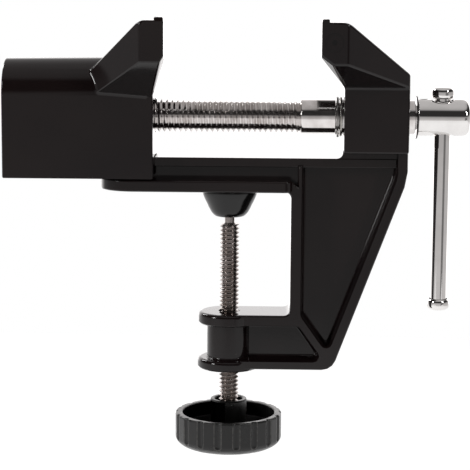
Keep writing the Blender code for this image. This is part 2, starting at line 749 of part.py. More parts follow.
def moving_head():
    """The moving jaw's head, a hull that tapers back and down into the arch, its face milled flat."""
    plateau_end = moving_face - MOVING_PLATEAU_DEPTH
    flank_bottom = jaw_top - MOVING_FLANK_HEIGHT
    toe_x = arch_front - MOVING_TOE_SETBACK
    toe_z = spindle_z + MOVING_TOE_OVER_SPINDLE
    undercut = moving_face - MOVING_UNDERCUT_DEPTH
    stock = moving_face + MILLING_STOCK
    taper = jaw_half - body_half
    share = NECK_ROOT_INSET / taper
    root_half = body_half - NECK_ROOT_INSET
    root_x = plateau_end - MOVING_NECK_RUN * (1 + share)
    heel_z = toe_z + NECK_HEEL_RISE
    root_bottom = heel_z - (flank_bottom - heel_z) * share
    root_top = moving_top - (plateau_end - root_x) * MOVING_BACK_SLOPE_SHARE
    inner_toe = toe_x - (undercut - toe_x) * share
    points = []
    for side in (-1, 1):
        wide = side * jaw_half
        points += [(stock, wide, moving_top), (plateau_end, wide, moving_top)]
        points += [(plateau_end, wide, flank_bottom), (undercut, wide, flank_bottom)]
        points += [(stock, wide, stock_height(MOVING_UNDERCUT_DEPTH, flank_bottom))]
        points += [(toe_x, side * body_half, toe_z)]
        points += [(inner_toe, side * root_half, toe_z - (flank_bottom - toe_z) * share)]
        points += [(root_x, side * root_half, root_bottom), (root_x, side * root_half, root_top)]
    bm = round_head(hull(points), plateau_end, moving_top)
    return scratch(planed(bm, X_AXIS * moving_face, X_AXIS))


def moving_jaw(material, parent):
    """The hollow arch on its T-slot, with the nut's housing behind the front wall."""
    steps = 20
    low = tombstone(body_half, arch_centre - ARCH_TAPER, skirt_bottom, steps)
    high = tombstone(body_half, arch_centre, skirt_bottom, steps)
    arch = lofted([(arch_back, low), (arch_front, high)], "X")
    body = scratch(round_edges(arch, ARCH_END_ROUNDING, 2, level_edges("X", arch_back, arch_front)))
    join(body, moving_head(), jaw_lip(moving_face, -1, MOVING_LIP_DEPTH, moving_top))
    start = arch_back - OVERRUN
    end = arch_front + OVERRUN
    cavity_low = tombstone(cavity_half, arch_centre - ARCH_TAPER, cavity_floor, 16)
    cavity_high = tombstone(cavity_half - POCKET_DRAFT, arch_centre - ARCH_TAPER / 2, cavity_floor, 16)
    cavity = lofted([(start, cavity_low), (cavity_end, cavity_high)], "X")
    flange_slot_half = flange_half + SLIDE_GAP
    flange_slot_low = flange_bottom - SLIDE_GAP
    flange_slot = [(-flange_slot_half, flange_slot_low), (flange_slot_half, flange_slot_low)]
    flange_slot += [(flange_slot_half, cavity_floor), (-flange_slot_half, cavity_floor)]
    web_slot_half = rail_web_half + SLIDE_GAP
    web_slot = [(-web_slot_half, 0), (web_slot_half, 0)]
    web_slot += [(web_slot_half, flange_bottom), (-web_slot_half, flange_bottom)]
    relief_half = frame_half + SLIDE_GAP
    relief_top = flange_bottom + CAST_ROUNDING + SLIDE_GAP
    relief = [(-relief_half, 0), (relief_half, 0), (relief_half, relief_top), (-relief_half, relief_top)]
    slots = [
        scratch(cavity),
        scratch(prism(flange_slot, start, end, "X")),
        scratch(prism(web_slot, start, end, "X")),
        scratch(prism(relief, arch_front - POST_RELIEF_LENGTH, end, "X")),
    ]
    axis = (0, 0, spindle_z)
    bores = [
        scratch(rod(X_AXIS, axis, nut_bore, nut_front - OVERRUN, end, MEDIUM)),
        scratch(rod(X_AXIS, axis, NUT_RADIUS + SEAT_GAP, cavity_end - OVERRUN, nut_front + SEAT_GAP, MEDIUM)),
        scratch(dowel_hole()),
    ]
    cut(body, *slots, *bores)
    return finish(body, "moving_jaw", material, parent)


def dowel_hole():
    """A cutter for the dowel's hole, half in the nut and half in its housing."""
    centre = (0, 0, spindle_z - dowel_drop)
    deep = nut_seat - NUT_FLANGE_THICKNESS + DOWEL_LENGTH + SEAT_GAP
    return rod(X_AXIS, centre, DOWEL_RADIUS + SEAT_GAP, cavity_end - OVERRUN * 2, deep, 16)


def jaw_nut(material, parent):
    """The flanged bush, threaded inside, that the lead screw pulls on."""
    flange = nut_seat - NUT_FLANGE_THICKNESS
    soft = TURNED_CHAMFER
    profile = [(flange, nut_bore + soft), (flange, NUT_FLANGE_RADIUS - soft), (flange + soft, NUT_FLANGE_RADIUS)]
    profile += [(nut_seat, NUT_FLANGE_RADIUS), (nut_seat, NUT_RADIUS), (nut_front - soft, NUT_RADIUS)]
    profile += [(nut_front, NUT_RADIUS - soft), (nut_front, nut_bore + soft)]
    profile += [(nut_front - soft, nut_bore), (flange + soft, nut_bore)]
    body = scratch(turned(profile, X_AXIS, (0, 0, spindle_z), FINE))
    cut(body, scratch(dowel_hole()))
    return finish(body, "jaw_nut", material, parent)


def nut_pin(material, parent):
    """The dowel on the joint line of the nut and its housing."""
    start = nut_seat - NUT_FLANGE_THICKNESS
    end = start + DOWEL_LENGTH
    soft = DOWEL_RADIUS / 4
    profile = [(start, 0), (start, DOWEL_RADIUS - soft), (start + soft, DOWEL_RADIUS)]
    profile += [(end - soft, DOWEL_RADIUS), (end, DOWEL_RADIUS - soft), (end, 0)]
    body = scratch(turned(profile, X_AXIS, (0, 0, spindle_z - dowel_drop), 16))
    return finish(body, "nut_pin", material, parent)


def pin_place():
    """Where the hub's cross pin stands along the spindle."""
    return hub_left + SPIGOT_LENGTH / 2


def vise_screw(material, parent):
    """The lead screw with its plain shank, clip groove and the spigot that the hub is pinned to."""
    groove_left = clip_left - SEAT_GAP
    groove_right = clip_left + CLIP_THICKNESS + SEAT_GAP
    groove = SHANK_RADIUS - CLIP_GROOVE_DEPTH
    shoulder = hub_left - SEAT_GAP
    spigot_end = hub_left + SPIGOT_LENGTH
    soft = TURNED_CHAMFER
    thread_stop = THREAD_END + THREAD_RUN_OUT
    profile = [(THREAD_END, 0), (THREAD_END, SHANK_RADIUS - THREAD_RUN_OUT), (thread_stop, SHANK_RADIUS)]
    profile += [(groove_left, SHANK_RADIUS), (groove_left, groove)]
    profile += [(groove_right, groove), (groove_right, SHANK_RADIUS), (shoulder, SHANK_RADIUS)]
    profile += [(shoulder, SPIGOT_RADIUS), (spigot_end - soft, SPIGOT_RADIUS)]
    profile += [(spigot_end, SPIGOT_RADIUS - soft), (spigot_end, 0)]
    axis = (0, 0, spindle_z)
    body = scratch(threaded(X_AXIS, axis, SCREW_RADIUS, -SCREW_REACH, thread_stop + SEAT_GAP))
    join(body, scratch(turned(profile, X_AXIS, axis, MEDIUM)))
    around = SCREW_RADIUS + OVERRUN
    lead_in = [(-SCREW_REACH - OVERRUN, SCREW_RADIUS - SCREW_END_CHAMFER - OVERRUN), (-SCREW_REACH - OVERRUN, around)]
    lead_in += [(-SCREW_REACH + SCREW_END_CHAMFER + OVERRUN, around)]
    hole = rod(Z_AXIS, (pin_place(), 0, spindle_z), HUB_PIN_RADIUS + SEAT_GAP, -HUB_RADIUS, HUB_RADIUS, 16)
    cut(body, scratch(turned(lead_in, X_AXIS, axis, MEDIUM)), scratch(hole))
    return finish(body, "vise_screw", material, parent)


def spindle_hub(material, parent):
    """The hub on the screw's outer end, cross-bored for the T-bar and for its pin."""
    soft = HUB_END_ROUNDING
    socket = SPIGOT_RADIUS + SEAT_GAP
    socket_end = hub_left + SPIGOT_LENGTH + SEAT_GAP
    profile = [(socket_end, 0), (socket_end, socket), (hub_left, socket), (hub_left, HUB_RADIUS - soft / 2)]
    profile += [(hub_left + soft / 2, HUB_RADIUS), (hub_right - soft, HUB_RADIUS)]
    profile += [(hub_right - soft / 3, HUB_RADIUS - soft / 3), (hub_right, HUB_RADIUS - soft), (hub_right, 0)]
    body = scratch(turned(profile, X_AXIS, (0, 0, spindle_z), FINE))
    spot = HUB_RADIUS - SPOT_FACE_DEPTH
    spot_radius = CAP_RADIUS + SEAT_GAP
    bore = BAR_RADIUS + SEAT_GAP
    reach = HUB_RADIUS + OVERRUN
    stepped = [(-reach, 0), (-reach, spot_radius), (-spot, spot_radius), (-spot, bore)]
    stepped += [(spot, bore), (spot, spot_radius), (reach, spot_radius), (reach, 0)]
    pin_hole = rod(Z_AXIS, (pin_place(), 0, spindle_z), HUB_PIN_RADIUS + SEAT_GAP, -reach, reach, 16)
    cut(body, scratch(turned(stepped, Z_AXIS, (bar_x, 0, spindle_z), 24)), scratch(pin_hole))
    return finish(body, "spindle_hub", material, parent)


def hub_pin(material, parent):
    """The cross pin through the hub and the screw's spigot, sunk below the hub's surface."""
    half = HUB_RADIUS - HUB_PIN_RECESS
    soft = HUB_PIN_RADIUS / 4
    profile = [(-half, 0), (-half, HUB_PIN_RADIUS - soft), (-half + soft, HUB_PIN_RADIUS)]
    profile += [(half - soft, HUB_PIN_RADIUS), (half, HUB_PIN_RADIUS - soft), (half, 0)]
    body = scratch(turned(profile, Z_AXIS, (pin_place(), 0, spindle_z), 16))
    return finish(body, "hub_pin", material, parent)


def retaining_clip(material, parent):
    """The snap ring in the shank's groove: an open ring with two longer prongs at its mouth."""
    inner = SHANK_RADIUS - CLIP_GROOVE_DEPTH + SEAT_GAP
    down = -math.pi / 2
    half_mouth = CLIP_MOUTH / 2
    start = down + half_mouth
    end = down - half_mouth + math.tau
    prong = CLIP_PRONG_WIDTH
    outline = arc((0, spindle_z), CLIP_PRONG_RADIUS, start, start + prong, 2)
    outline += arc((0, spindle_z), CLIP_RADIUS, start + prong, end - prong, 22)
    outline += arc((0, spindle_z), CLIP_PRONG_RADIUS, end - prong, end, 2)
    outline += arc((0, spindle_z), inner, end, start, 22)
    body = scratch(prism(outline, clip_left, clip_left + CLIP_THICKNESS, "X"))
    return finish(body, "retaining_clip", material, parent)


def clip_washer(material, parent):
    """The thrust washer between the clip and the block."""
    right = washer_left + WASHER_THICKNESS
    inner = SHANK_RADIUS + SEAT_GAP
    soft = WASHER_THICKNESS / 4
    profile = [(washer_left, inner), (washer_left, WASHER_RADIUS - soft), (washer_left + soft, WASHER_RADIUS)]
    profile += [(right - soft, WASHER_RADIUS), (right, WASHER_RADIUS - soft), (right, inner)]
    body = scratch(turned(profile, X_AXIS, (0, 0, spindle_z), MEDIUM))
    return finish(body, "clip_washer", material, parent)


def handle_bar(material, parent):
    """The T-bar, which ends inside its two caps."""
    low = lower_cap_top - CAP_BORE_DEPTH + SEAT_GAP
    high = upper_cap_bottom + CAP_BORE_DEPTH - SEAT_GAP
    soft = TURNED_CHAMFER / 2
    profile = [(low, 0), (low, BAR_RADIUS - soft), (low + soft, BAR_RADIUS)]
    profile += [(high - soft, BAR_RADIUS), (high, BAR_RADIUS - soft), (high, 0)]
    body = scratch(turned(profile, Z_AXIS, (bar_x, 0, 0), 24))
    return finish(body, "handle_bar", material, parent)


def end_cap(name, inner_face, out, material, parent):
    """A cap pressed on one end of the T-bar. Its bore opens at the inner face."""
    outer_face = inner_face + out * CAP_LENGTH
    bore = BAR_RADIUS + SEAT_GAP
    soft = CAP_ROUNDING / 4
    floor = inner_face + out * CAP_BORE_DEPTH
    profile = [(floor, 0), (floor, bore), (inner_face, bore), (inner_face, CAP_RADIUS - soft)]
    profile.append((inner_face + out * soft, CAP_RADIUS))
    corner = (CAP_LENGTH - CAP_ROUNDING, CAP_RADIUS - CAP_ROUNDING)
    for along, radius in arc(corner, CAP_ROUNDING, math.radians(90), 0, 4):
        profile.append((inner_face + out * along, radius))
    profile.append((outer_face, 0))
    body = scratch(turned(profile, Z_AXIS, (bar_x, 0, 0), 24))
    return finish(body, name, material, parent)


def clamp_pad(material, parent):
    """The domed pad under the seat, with a socket for the clamp screw's ball."""
    socket = BALL_RADIUS + SEAT_GAP
    mouth = RETAINER_RADIUS + SEAT_GAP
    ledge = pad_bottom + RETAINER_THICKNESS + 2 * SEAT_GAP
    profile = [(pad_top, 0)]
    profile += [(pad_top - PAD_HEIGHT * down, PAD_RADIUS * wide) for down, wide in PAD_WAIST_SHARES]
    profile += [(pad_bottom, mouth), (ledge, mouth), (ledge, socket)]
    for height, radius in arc((ball_centre, 0), socket, math.radians(90), 0, 5):
        profile.append((height, radius))
    body = scratch(turned(profile, Z_AXIS, (0, 0, 0), FINE))
    return finish(body, "clamp_pad", material, parent)


def pad_retainer(material, parent):
    """The ring in the pad's mouth that keeps the ball in."""
    low = pad_bottom + SEAT_GAP / 2
    high = low + RETAINER_THICKNESS
    inner = SWIVEL_NECK_RADIUS + SEAT_GAP
    profile = [(low, inner), (low, RETAINER_RADIUS), (high, RETAINER_RADIUS), (high, inner)]
    body = scratch(turned(profile, Z_AXIS, (0, 0, 0), MEDIUM))
    return finish(body, "pad_retainer", material, parent)


def clamp_screw(material, parent):
    """The clamp screw: a ball and neck at the top, and a drilled lower end for the knob's screw."""
    soft = CLAMP_SCREW_CHAMFER
    meets = math.asin(SWIVEL_NECK_RADIUS / BALL_RADIUS)
    profile = [(height, max(radius, 0)) for height, radius in
               arc((ball_centre, 0), BALL_RADIUS, 0, math.pi - meets, 9)]
    shoulder = -SWIVEL_NECK_END
    profile += [(shoulder, SWIVEL_NECK_RADIUS), (shoulder, CLAMP_SCREW_RADIUS - soft)]
    profile += [(shoulder - soft, CLAMP_SCREW_RADIUS), (clamp_screw_end + soft, CLAMP_SCREW_RADIUS)]
    hole = KNOB_SCREW_RADIUS + SEAT_GAP
    hole_top = clamp_screw_end + KNOB_SCREW_GRIP + SEAT_GAP
    profile += [(clamp_screw_end, CLAMP_SCREW_RADIUS - soft), (clamp_screw_end, hole), (hole_top, hole), (hole_top, 0)]
    body = scratch(turned(profile, Z_AXIS, (0, 0, 0), 28))
    return finish(body, "clamp_screw", material, parent)


def scalloped(radius, depth, width=FLUTE_WIDTH):
    """The knob's outline in plan: plain lands with a narrow round-bottomed flute between each two."""
    points = []
    pitch = math.tau / FLUTES
    for flute in range(FLUTES):
        for share in FLUTE_ARC_SHARES:
            angle = pitch * flute + share * width / 2 / KNOB_RADIUS
            reach = radius - depth * (1 - share * share)
            points.append((reach * math.cos(angle), reach * math.sin(angle)))
        angle = pitch * (flute + 1 / 2)
        points.append((radius * math.cos(angle), radius * math.sin(angle)))
    return points


def knob_section(angle, depth=0, width=FLUTE_WIDTH):
    """A section of the knob at an angle round its lower curve, from zero at the side to a quarter turn."""
    curve = KNOB_HEIGHT - KNOB_SIDE_HEIGHT
    radius = KNOB_BOTTOM_RADIUS + (KNOB_RADIUS - KNOB_BOTTOM_RADIUS) * math.cos(angle)
    return knob_bottom + curve * (1 - math.sin(angle)), scalloped(radius, depth, width)


def knob(material, parent):
    """The open cup of the knob: fluted side, turned inside, with a raised hub in its middle."""
    curve = KNOB_HEIGHT - KNOB_SIDE_HEIGHT
    soft = KNOB_RIM_ROUNDING
    sections = [(knob_top, scalloped(KNOB_RADIUS - soft, FLUTE_DEPTH / 4))]
    sections.append((knob_top - soft, scalloped(KNOB_RADIUS, FLUTE_DEPTH)))
    fade = math.asin(min(1, FLUTE_FADE / curve))
    for share, depth_share, width_share in FLUTE_FADE_SHARES:
        sections.append(knob_section(fade * share, FLUTE_DEPTH * depth_share, FLUTE_WIDTH * width_share))
    for share in KNOB_CURVE_SHARES:
        sections.append(knob_section(fade + (math.pi / 2 - fade) * share))
    body = scratch(lofted(sections, "Z"))
    inner = KNOB_RADIUS - KNOB_WALL
    fillet = KNOB_WALL / 2
    cup = [(knob_top + OVERRUN, HUB_BOSS_RADIUS), (knob_top + OVERRUN, inner), (knob_floor + curve, inner)]
    cup += [(knob_floor + fillet, inner - curve / 2), (knob_floor, inner - curve / 2 - fillet)]
    cup += [(knob_floor, HUB_BOSS_RADIUS)]
    cut(body, scratch(turned(cup, Z_AXIS, (0, 0, 0), FINE)))
    hub = [(knob_floor - SEAT_GAP, 0), (knob_floor - SEAT_GAP, HUB_BOSS_RADIUS)]
    hub += [(knob_hub_top - soft, HUB_BOSS_RADIUS), (knob_hub_top, HUB_BOSS_RADIUS - soft), (knob_hub_top, 0)]
    join(body, scratch(turned(hub, Z_AXIS, (0, 0, 0), FINE)))
    bore = rod(Z_AXIS, (0, 0, 0), INSERT_RADIUS + SEAT_GAP, insert_bottom - SEAT_GAP, knob_hub_top + OVERRUN, MEDIUM)
    counterbore = rod(Z_AXIS, (0, 0, 0), KNOB_SCREW_HEAD_RADIUS + SEAT_GAP, knob_bottom - OVERRUN,
                      counterbore_top, MEDIUM)
    through = rod(Z_AXIS, (0, 0, 0), KNOB_SCREW_RADIUS + SEAT_GAP, knob_bottom - OVERRUN, knob_hub_top, 16)
    cut(body, scratch(bore), scratch(counterbore), scratch(through))
    return finish(body, "knob", material, parent)


def knob_insert(material, parent):
    """The metal bush in the knob's hub that grips the clamp screw."""
    inner = CLAMP_SCREW_RADIUS + SEAT_GAP
    soft = TURNED_CHAMFER / 2
    profile = [(insert_bottom, inner), (insert_bottom, INSERT_RADIUS), (insert_top - soft, INSERT_RADIUS)]
    profile += [(insert_top, INSERT_RADIUS - soft), (insert_top, inner)]
    body = scratch(turned(profile, Z_AXIS, (0, 0, 0), MEDIUM))
    return finish(body, "knob_insert", material, parent)


def knob_screw(material, parent):
    """The screw that holds the knob on, with its head sunk in the knob's underside."""
    head_top = counterbore_top - SEAT_GAP
    head_bottom = head_top - KNOB_SCREW_HEAD_HEIGHT
    tip = clamp_screw_end + KNOB_SCREW_GRIP
    soft = TURNED_CHAMFER
    profile = [(head_bottom, 0), (head_bottom, KNOB_SCREW_HEAD_RADIUS - soft)]
    profile += [(head_bottom + soft, KNOB_SCREW_HEAD_RADIUS), (head_top, KNOB_SCREW_HEAD_RADIUS)]
    profile += [(head_top, KNOB_SCREW_RADIUS), (tip - soft, KNOB_SCREW_RADIUS), (tip, KNOB_SCREW_RADIUS - soft)]
    profile += [(tip, 0)]
    body = scratch(turned(profile, Z_AXIS, (0, 0, 0), 24))
    return finish(body, "knob_screw", material, parent)


def build():
    clear_scene()
    carriage = joint_centre("jaw_carriage", (arch_front, 0, spindle_z))
    spindle = joint_centre("spindle_axis", (block_right, 0, spindle_z))
    handle = joint_centre("handle_axis", (bar_x, 0, spindle_z), spindle)
    clamp = joint_centre("clamp_axis", (0, 0, 0))

    clamp_frame(paint("frame_paint", (0.020, 0.020, 0.022), 0.22, 0.0))
    moving_jaw(paint("jaw_paint", (0.020, 0.020, 0.022), 0.22, 0.0), carriage)
    jaw_nut(paint("nut_steel", (0.42, 0.41, 0.38), 0.38, 1.0), carriage)
    nut_pin(paint("dowel_steel", (0.50, 0.50, 0.50), 0.30, 1.0), carriage)

    vise_screw(paint("screw_plating", (0.62, 0.61, 0.59), 0.24, 1.0), spindle)
    spindle_hub(paint("hub_chrome", (0.80, 0.80, 0.80), 0.09, 1.0), spindle)
    hub_pin(paint("pin_steel", (0.55, 0.55, 0.55), 0.30, 1.0), spindle)
    retaining_clip(paint("clip_steel", (0.45, 0.45, 0.45), 0.32, 1.0), spindle)
    clip_washer(paint("washer_zinc", (0.58, 0.58, 0.57), 0.34, 1.0), spindle)

    handle_bar(paint("bar_chrome", (0.80, 0.80, 0.80), 0.10, 1.0), handle)
    end_cap("upper_cap", upper_cap_bottom, 1, paint("upper_cap_chrome", (0.80, 0.80, 0.80), 0.10, 1.0), handle)
    end_cap("lower_cap", lower_cap_top, -1, paint("lower_cap_chrome", (0.80, 0.80, 0.80), 0.10, 1.0), handle)

    clamp_pad(paint("pad_black", (0.035, 0.034, 0.033), 0.45, 0.0), clamp)
    pad_retainer(paint("retainer_steel", (0.45, 0.45, 0.45), 0.34, 1.0), clamp)
    clamp_screw(paint("clamp_screw_zinc", (0.40, 0.38, 0.36), 0.36, 1.0), clamp)
    knob(paint("knob_plastic", (0.045, 0.045, 0.045), 0.42, 0.0), clamp)
    knob_insert(paint("insert_zinc", (0.48, 0.46, 0.42), 0.36, 1.0), clamp)
    knob_screw(paint("knob_screw_zinc", (0.50, 0.50, 0.49), 0.34, 1.0), clamp)


build()
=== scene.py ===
import math

import bmesh
import bpy
from mathutils import Euler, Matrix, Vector


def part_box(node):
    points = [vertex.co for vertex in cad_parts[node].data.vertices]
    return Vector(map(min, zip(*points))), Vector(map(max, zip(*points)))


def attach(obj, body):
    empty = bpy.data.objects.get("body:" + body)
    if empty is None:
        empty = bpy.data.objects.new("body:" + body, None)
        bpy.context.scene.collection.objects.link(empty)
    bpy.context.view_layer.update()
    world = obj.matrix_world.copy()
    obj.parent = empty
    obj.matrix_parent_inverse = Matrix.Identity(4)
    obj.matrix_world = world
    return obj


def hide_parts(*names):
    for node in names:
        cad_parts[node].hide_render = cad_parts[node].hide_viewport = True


# Metres, as in the CAD: X runs along the vise to its T-bar, Y away from the camera, Z up.
# The lengths in the dictionaries are in millimetres, apart from the stage's at the end.

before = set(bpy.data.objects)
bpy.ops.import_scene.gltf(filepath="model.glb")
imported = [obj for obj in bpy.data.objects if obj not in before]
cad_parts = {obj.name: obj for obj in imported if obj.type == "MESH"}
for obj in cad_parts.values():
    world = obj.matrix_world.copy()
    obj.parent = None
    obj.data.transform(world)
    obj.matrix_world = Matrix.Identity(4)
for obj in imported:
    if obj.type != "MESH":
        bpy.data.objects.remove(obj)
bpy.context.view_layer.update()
mm = 0.001
xAxis = Vector((1, 0, 0))
zAxis = Vector((0, 0, 1))


# Mesh helpers

mergeGap = {"turned": 0.0005, "thread": 0.001, "copied": 0.002, "fluted": 0.002}    # nearer points are one
cornerShare = 0.45    # the most of an edge that one rounded corner takes
flatAngle = 0.02      # faces that turn by less than this, in radians, are one flat


def outward(axis):
    return xAxis if axis == zAxis else zAxis


def turn(bm, profile, axis, centre, segments=64):
    # spins (along, radius) points round an axis; a profile that starts off the axis is a ring
    out = outward(axis)
    places = [Vector(centre) + axis * along * mm + out * radius * mm for along, radius in profile]
    verts = [bm.verts.new(place) for place in places]
    pairs = list(zip(verts, verts[1:]))
    if profile[0][1] > 0:
        pairs.append((verts[-1], verts[0]))
    edges = [bm.edges.new(pair) for pair in pairs]
    bmesh.ops.spin(
        bm, geom=verts + edges, cent=centre, axis=axis, angle=math.tau, steps=segments, use_merge=True
    )
    bmesh.ops.remove_doubles(bm, verts=bm.verts, dist=mergeGap["turned"] * mm)
    bmesh.ops.recalc_face_normals(bm, faces=bm.faces)
    return bm


def softened(profile, radius, steps=4):
    # rounds each inner corner of a profile; a corner too near its neighbours is rounded less
    points = [profile[0]]
    for before, here, after in zip(profile, profile[1:], profile[2:]):
        corner = Vector(here)
        back = Vector(before) - corner
        ahead = Vector(after) - corner
        reach = min(radius, back.length * cornerShare, ahead.length * cornerShare)
        start = corner + back.normalized() * reach
        end = corner + ahead.normalized() * reach
        for step in range(steps + 1):
            share = step / steps
            points.append(tuple(start.lerp(corner, share).lerp(corner.lerp(end, share), share)))
    points.append(profile[-1])
    return points


def makePiece(name, bm):
    mesh = bpy.data.meshes.new(name)
    bm.to_mesh(mesh)
    bm.free()
    piece = bpy.data.objects.new(name, mesh)
    bpy.context.scene.collection.objects.link(piece)
    return piece


def applyModifiers(piece):
    graph = bpy.context.evaluated_depsgraph_get()
    mesh = bpy.data.meshes.new_from_object(piece.evaluated_get(graph))
    piece.modifiers.clear()
    piece.data = mesh


def carve(piece, tools):
    for bm in tools:
        tool = makePiece("cutter", bm)
        step = piece.modifiers.new("cut", "BOOLEAN")
        step.operation = "DIFFERENCE"
        step.object = tool
        applyModifiers(piece)
        bpy.data.objects.remove(tool)


def flatRegions(bm):
    # numbers the faces so that all the faces of one flat have one number
    region = [-1] * len(bm.faces)
    count = 0
    for first in bm.faces:
        if region[first.index] >= 0:
            continue
        region[first.index] = count
        waiting = [first]
        while waiting:
            for edge in waiting.pop().edges:
                if len(edge.link_faces) != 2 or edge.calc_face_angle(0) > flatAngle:
                    continue
                for face in edge.link_faces:
                    if region[face.index] < 0:
                        region[face.index] = count
                        waiting.append(face)
        count += 1
    return region, count


def smooth(piece, crease):
    # smooth shading in which each wide flat keeps its own normal, and the narrow rounds
    # beside it carry the turn; an edge is a crease where it turns by more than "any",
    # or by more than "flats" between two wide flats
    bm = bmesh.new()
    bm.from_mesh(piece.data)
    bm.faces.index_update()
    region, count = flatRegions(bm)
    area = [0.0] * count
    rim = [1e-9] * count    # never nothing, because it divides
    facing = [Vector()] * count
    for face in bm.faces:
        number = region[face.index]
        area[number] += face.calc_area()
        facing[number] = facing[number] + face.normal * face.calc_area()
    for edge in bm.edges:
        ends = [region[face.index] for face in edge.link_faces]
        if len(set(ends)) > 1:
            for number in ends:
                rim[number] += edge.calc_length()
    wide = [2 * size / around > crease["wide"] * mm for size, around in zip(area, rim)]
    low, high = math.radians(crease["flats"]), math.radians(crease["any"])
    for edge in bm.edges:
        angle = edge.calc_face_angle(0)
        broad = all(wide[region[face.index]] for face in edge.link_faces)
        finishes = {face.material_index for face in edge.link_faces}
        edge.smooth = not (angle > high or angle > low and broad or len(finishes) > 1)
    normals = {}
    for vert in bm.verts:
        left = set(vert.link_faces)
        while left:
            fan = [left.pop()]
            for face in fan:
                for edge in face.edges:
                    if edge.smooth and vert in edge.verts:
                        more = [other for other in edge.link_faces if other in left]
                        left.difference_update(more)
                        fan.extend(more)
            around = {region[face.index] for face in fan}
            flats = [number for number in around if wide[number]]
            for face in fan:
                own = facing[region[face.index]]
                if wide[region[face.index]]:
                    parts = [number for number in flats if facing[number].angle(own, 0) < low]
                else:
                    parts = flats or around
                total = sum((facing[number] for number in parts), Vector())
                normals[face.index, vert.index] = total.normalized()
    bm.to_mesh(piece.data)
    bm.free()
    mesh = piece.data
    corners = [(face.index, corner) for face in mesh.polygons for corner in face.loop_indices]
    cornerNormals = [normals[face, mesh.loops[corner].vertex_index] for face, corner in corners]
    mesh.normals_split_custom_set(cornerNormals)


plainCrease = {"flats": 35, "any": 35, "wide": 0}    # angles in degrees, and the least width of a flat


def dress(piece, body, nodes, material, crease=plainCrease):
    # gives a finished piece its looks and its body, and hides the CAD nodes that it stands for
    if not piece.data.materials:
        piece.data.materials.append(material)
    smooth(piece, crease)
    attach(piece, body)
    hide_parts(*nodes)
    return piece


def rod(axis, centre, radius, low, high, segments):
    return turn(bmesh.new(), [(low, 0), (low, radius), (high, radius), (high, 0)], axis, centre, segments)


def merged(node):
    # a copy of a CAD node's loose triangles as one clean mesh
    bm = bmesh.new()
    bm.from_mesh(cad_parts[node].data)
    bmesh.ops.remove_doubles(bm, verts=bm.verts, dist=mergeGap["copied"] * mm)
    return bm


# Shader groups that several finishes share

def newGroup(name, inputs, outputs):
    group = bpy.data.node_groups.new(name, "ShaderNodeTree")
    for label, value in inputs.items():
        socket = group.interface.new_socket(label, in_out="INPUT", socket_type="NodeSocketFloat")
        socket.default_value = value
    for label in outputs:
        group.interface.new_socket(label, in_out="OUTPUT", socket_type="NodeSocketFloat")
    return group, group.nodes.new("NodeGroupInput"), group.nodes.new("NodeGroupOutput")


def mathNode(tree, operation, *values):
    node = tree.nodes.new("ShaderNodeMath")
    node.operation = operation
    for index, value in enumerate(values):
        if isinstance(value, bpy.types.NodeSocket):
            tree.links.new(value, node.inputs[index])
        else:
            node.inputs[index].default_value = value
    return node.outputs[0]


def between(tree, factor, low, high, start=0.0, end=1.0, smoothly=False):
    # a number that runs from low to high as the factor goes from start to end
    node = tree.nodes.new("ShaderNodeMapRange")
    node.interpolation_type = "SMOOTHSTEP" if smoothly else "LINEAR"
    tree.links.new(factor, node.inputs["Value"])
    node.inputs["From Min"].default_value = start
    node.inputs["From Max"].default_value = end
    node.inputs["To Min"].default_value = low
    node.inputs["To Max"].default_value = high
    return node.outputs["Result"]


def noise(tree, vector, scale, detail):
    node = tree.nodes.new("ShaderNodeTexNoise")
    node.inputs["Detail"].default_value = detail
    tree.links.new(vector, node.inputs["Vector"])
    if isinstance(scale, bpy.types.NodeSocket):
        tree.links.new(scale, node.inputs["Scale"])
    else:
        node.inputs["Scale"].default_value = scale
    return node.outputs["Fac"]


grainShape = {"detail": 3, "patchScale": 0.09, "patchDetail": 2, "patchFrom": 0.35, "patchTo": 0.65}
hairlineShape = {"detail": 2, "markFrom": 0.45, "markTo": 0.7}
dustShape = {"picked": 0.8}    # only the cells whose random colour is brighter hold a speck


def makeGrain():
    # fine grain in the surface, and broad soft patches of it
    group, start, end = newGroup("fineGrain", {"Scale": 2000}, ("Height", "Patches"))
    shape = grainShape
    place = group.nodes.new("ShaderNodeTexCoord").outputs["Object"]
    group.links.new(noise(group, place, start.outputs["Scale"], shape["detail"]), end.inputs["Height"])
    wide = mathNode(group, "MULTIPLY", start.outputs["Scale"], shape["patchScale"])
    cloudy = noise(group, place, wide, shape["patchDetail"])
    patches = between(group, cloudy, 0, 1, shape["patchFrom"], shape["patchTo"])
    group.links.new(patches, end.inputs["Patches"])
    return group


def makeHairlines():
    # hairline marks that run one way: noise squeezed along two axes
    squeeze = {"AlongX": 6000, "AlongY": 150, "AlongZ": 150}
    group, start, end = newGroup("hairlines", squeeze, ("Height", "Marks"))
    split = group.nodes.new("ShaderNodeSeparateXYZ")
    joined = group.nodes.new("ShaderNodeCombineXYZ")
    group.links.new(group.nodes.new("ShaderNodeTexCoord").outputs["Object"], split.inputs[0])
    for axis in "XYZ":
        squeezed = mathNode(group, "MULTIPLY", split.outputs[axis], start.outputs["Along" + axis])
        group.links.new(squeezed, joined.inputs[axis])
    lines = noise(group, joined.outputs[0], 1, hairlineShape["detail"])
    group.links.new(lines, end.inputs["Height"])
    marks = between(group, lines, 0, 1, hairlineShape["markFrom"], hairlineShape["markTo"])
    group.links.new(marks, end.inputs["Marks"])
    return group


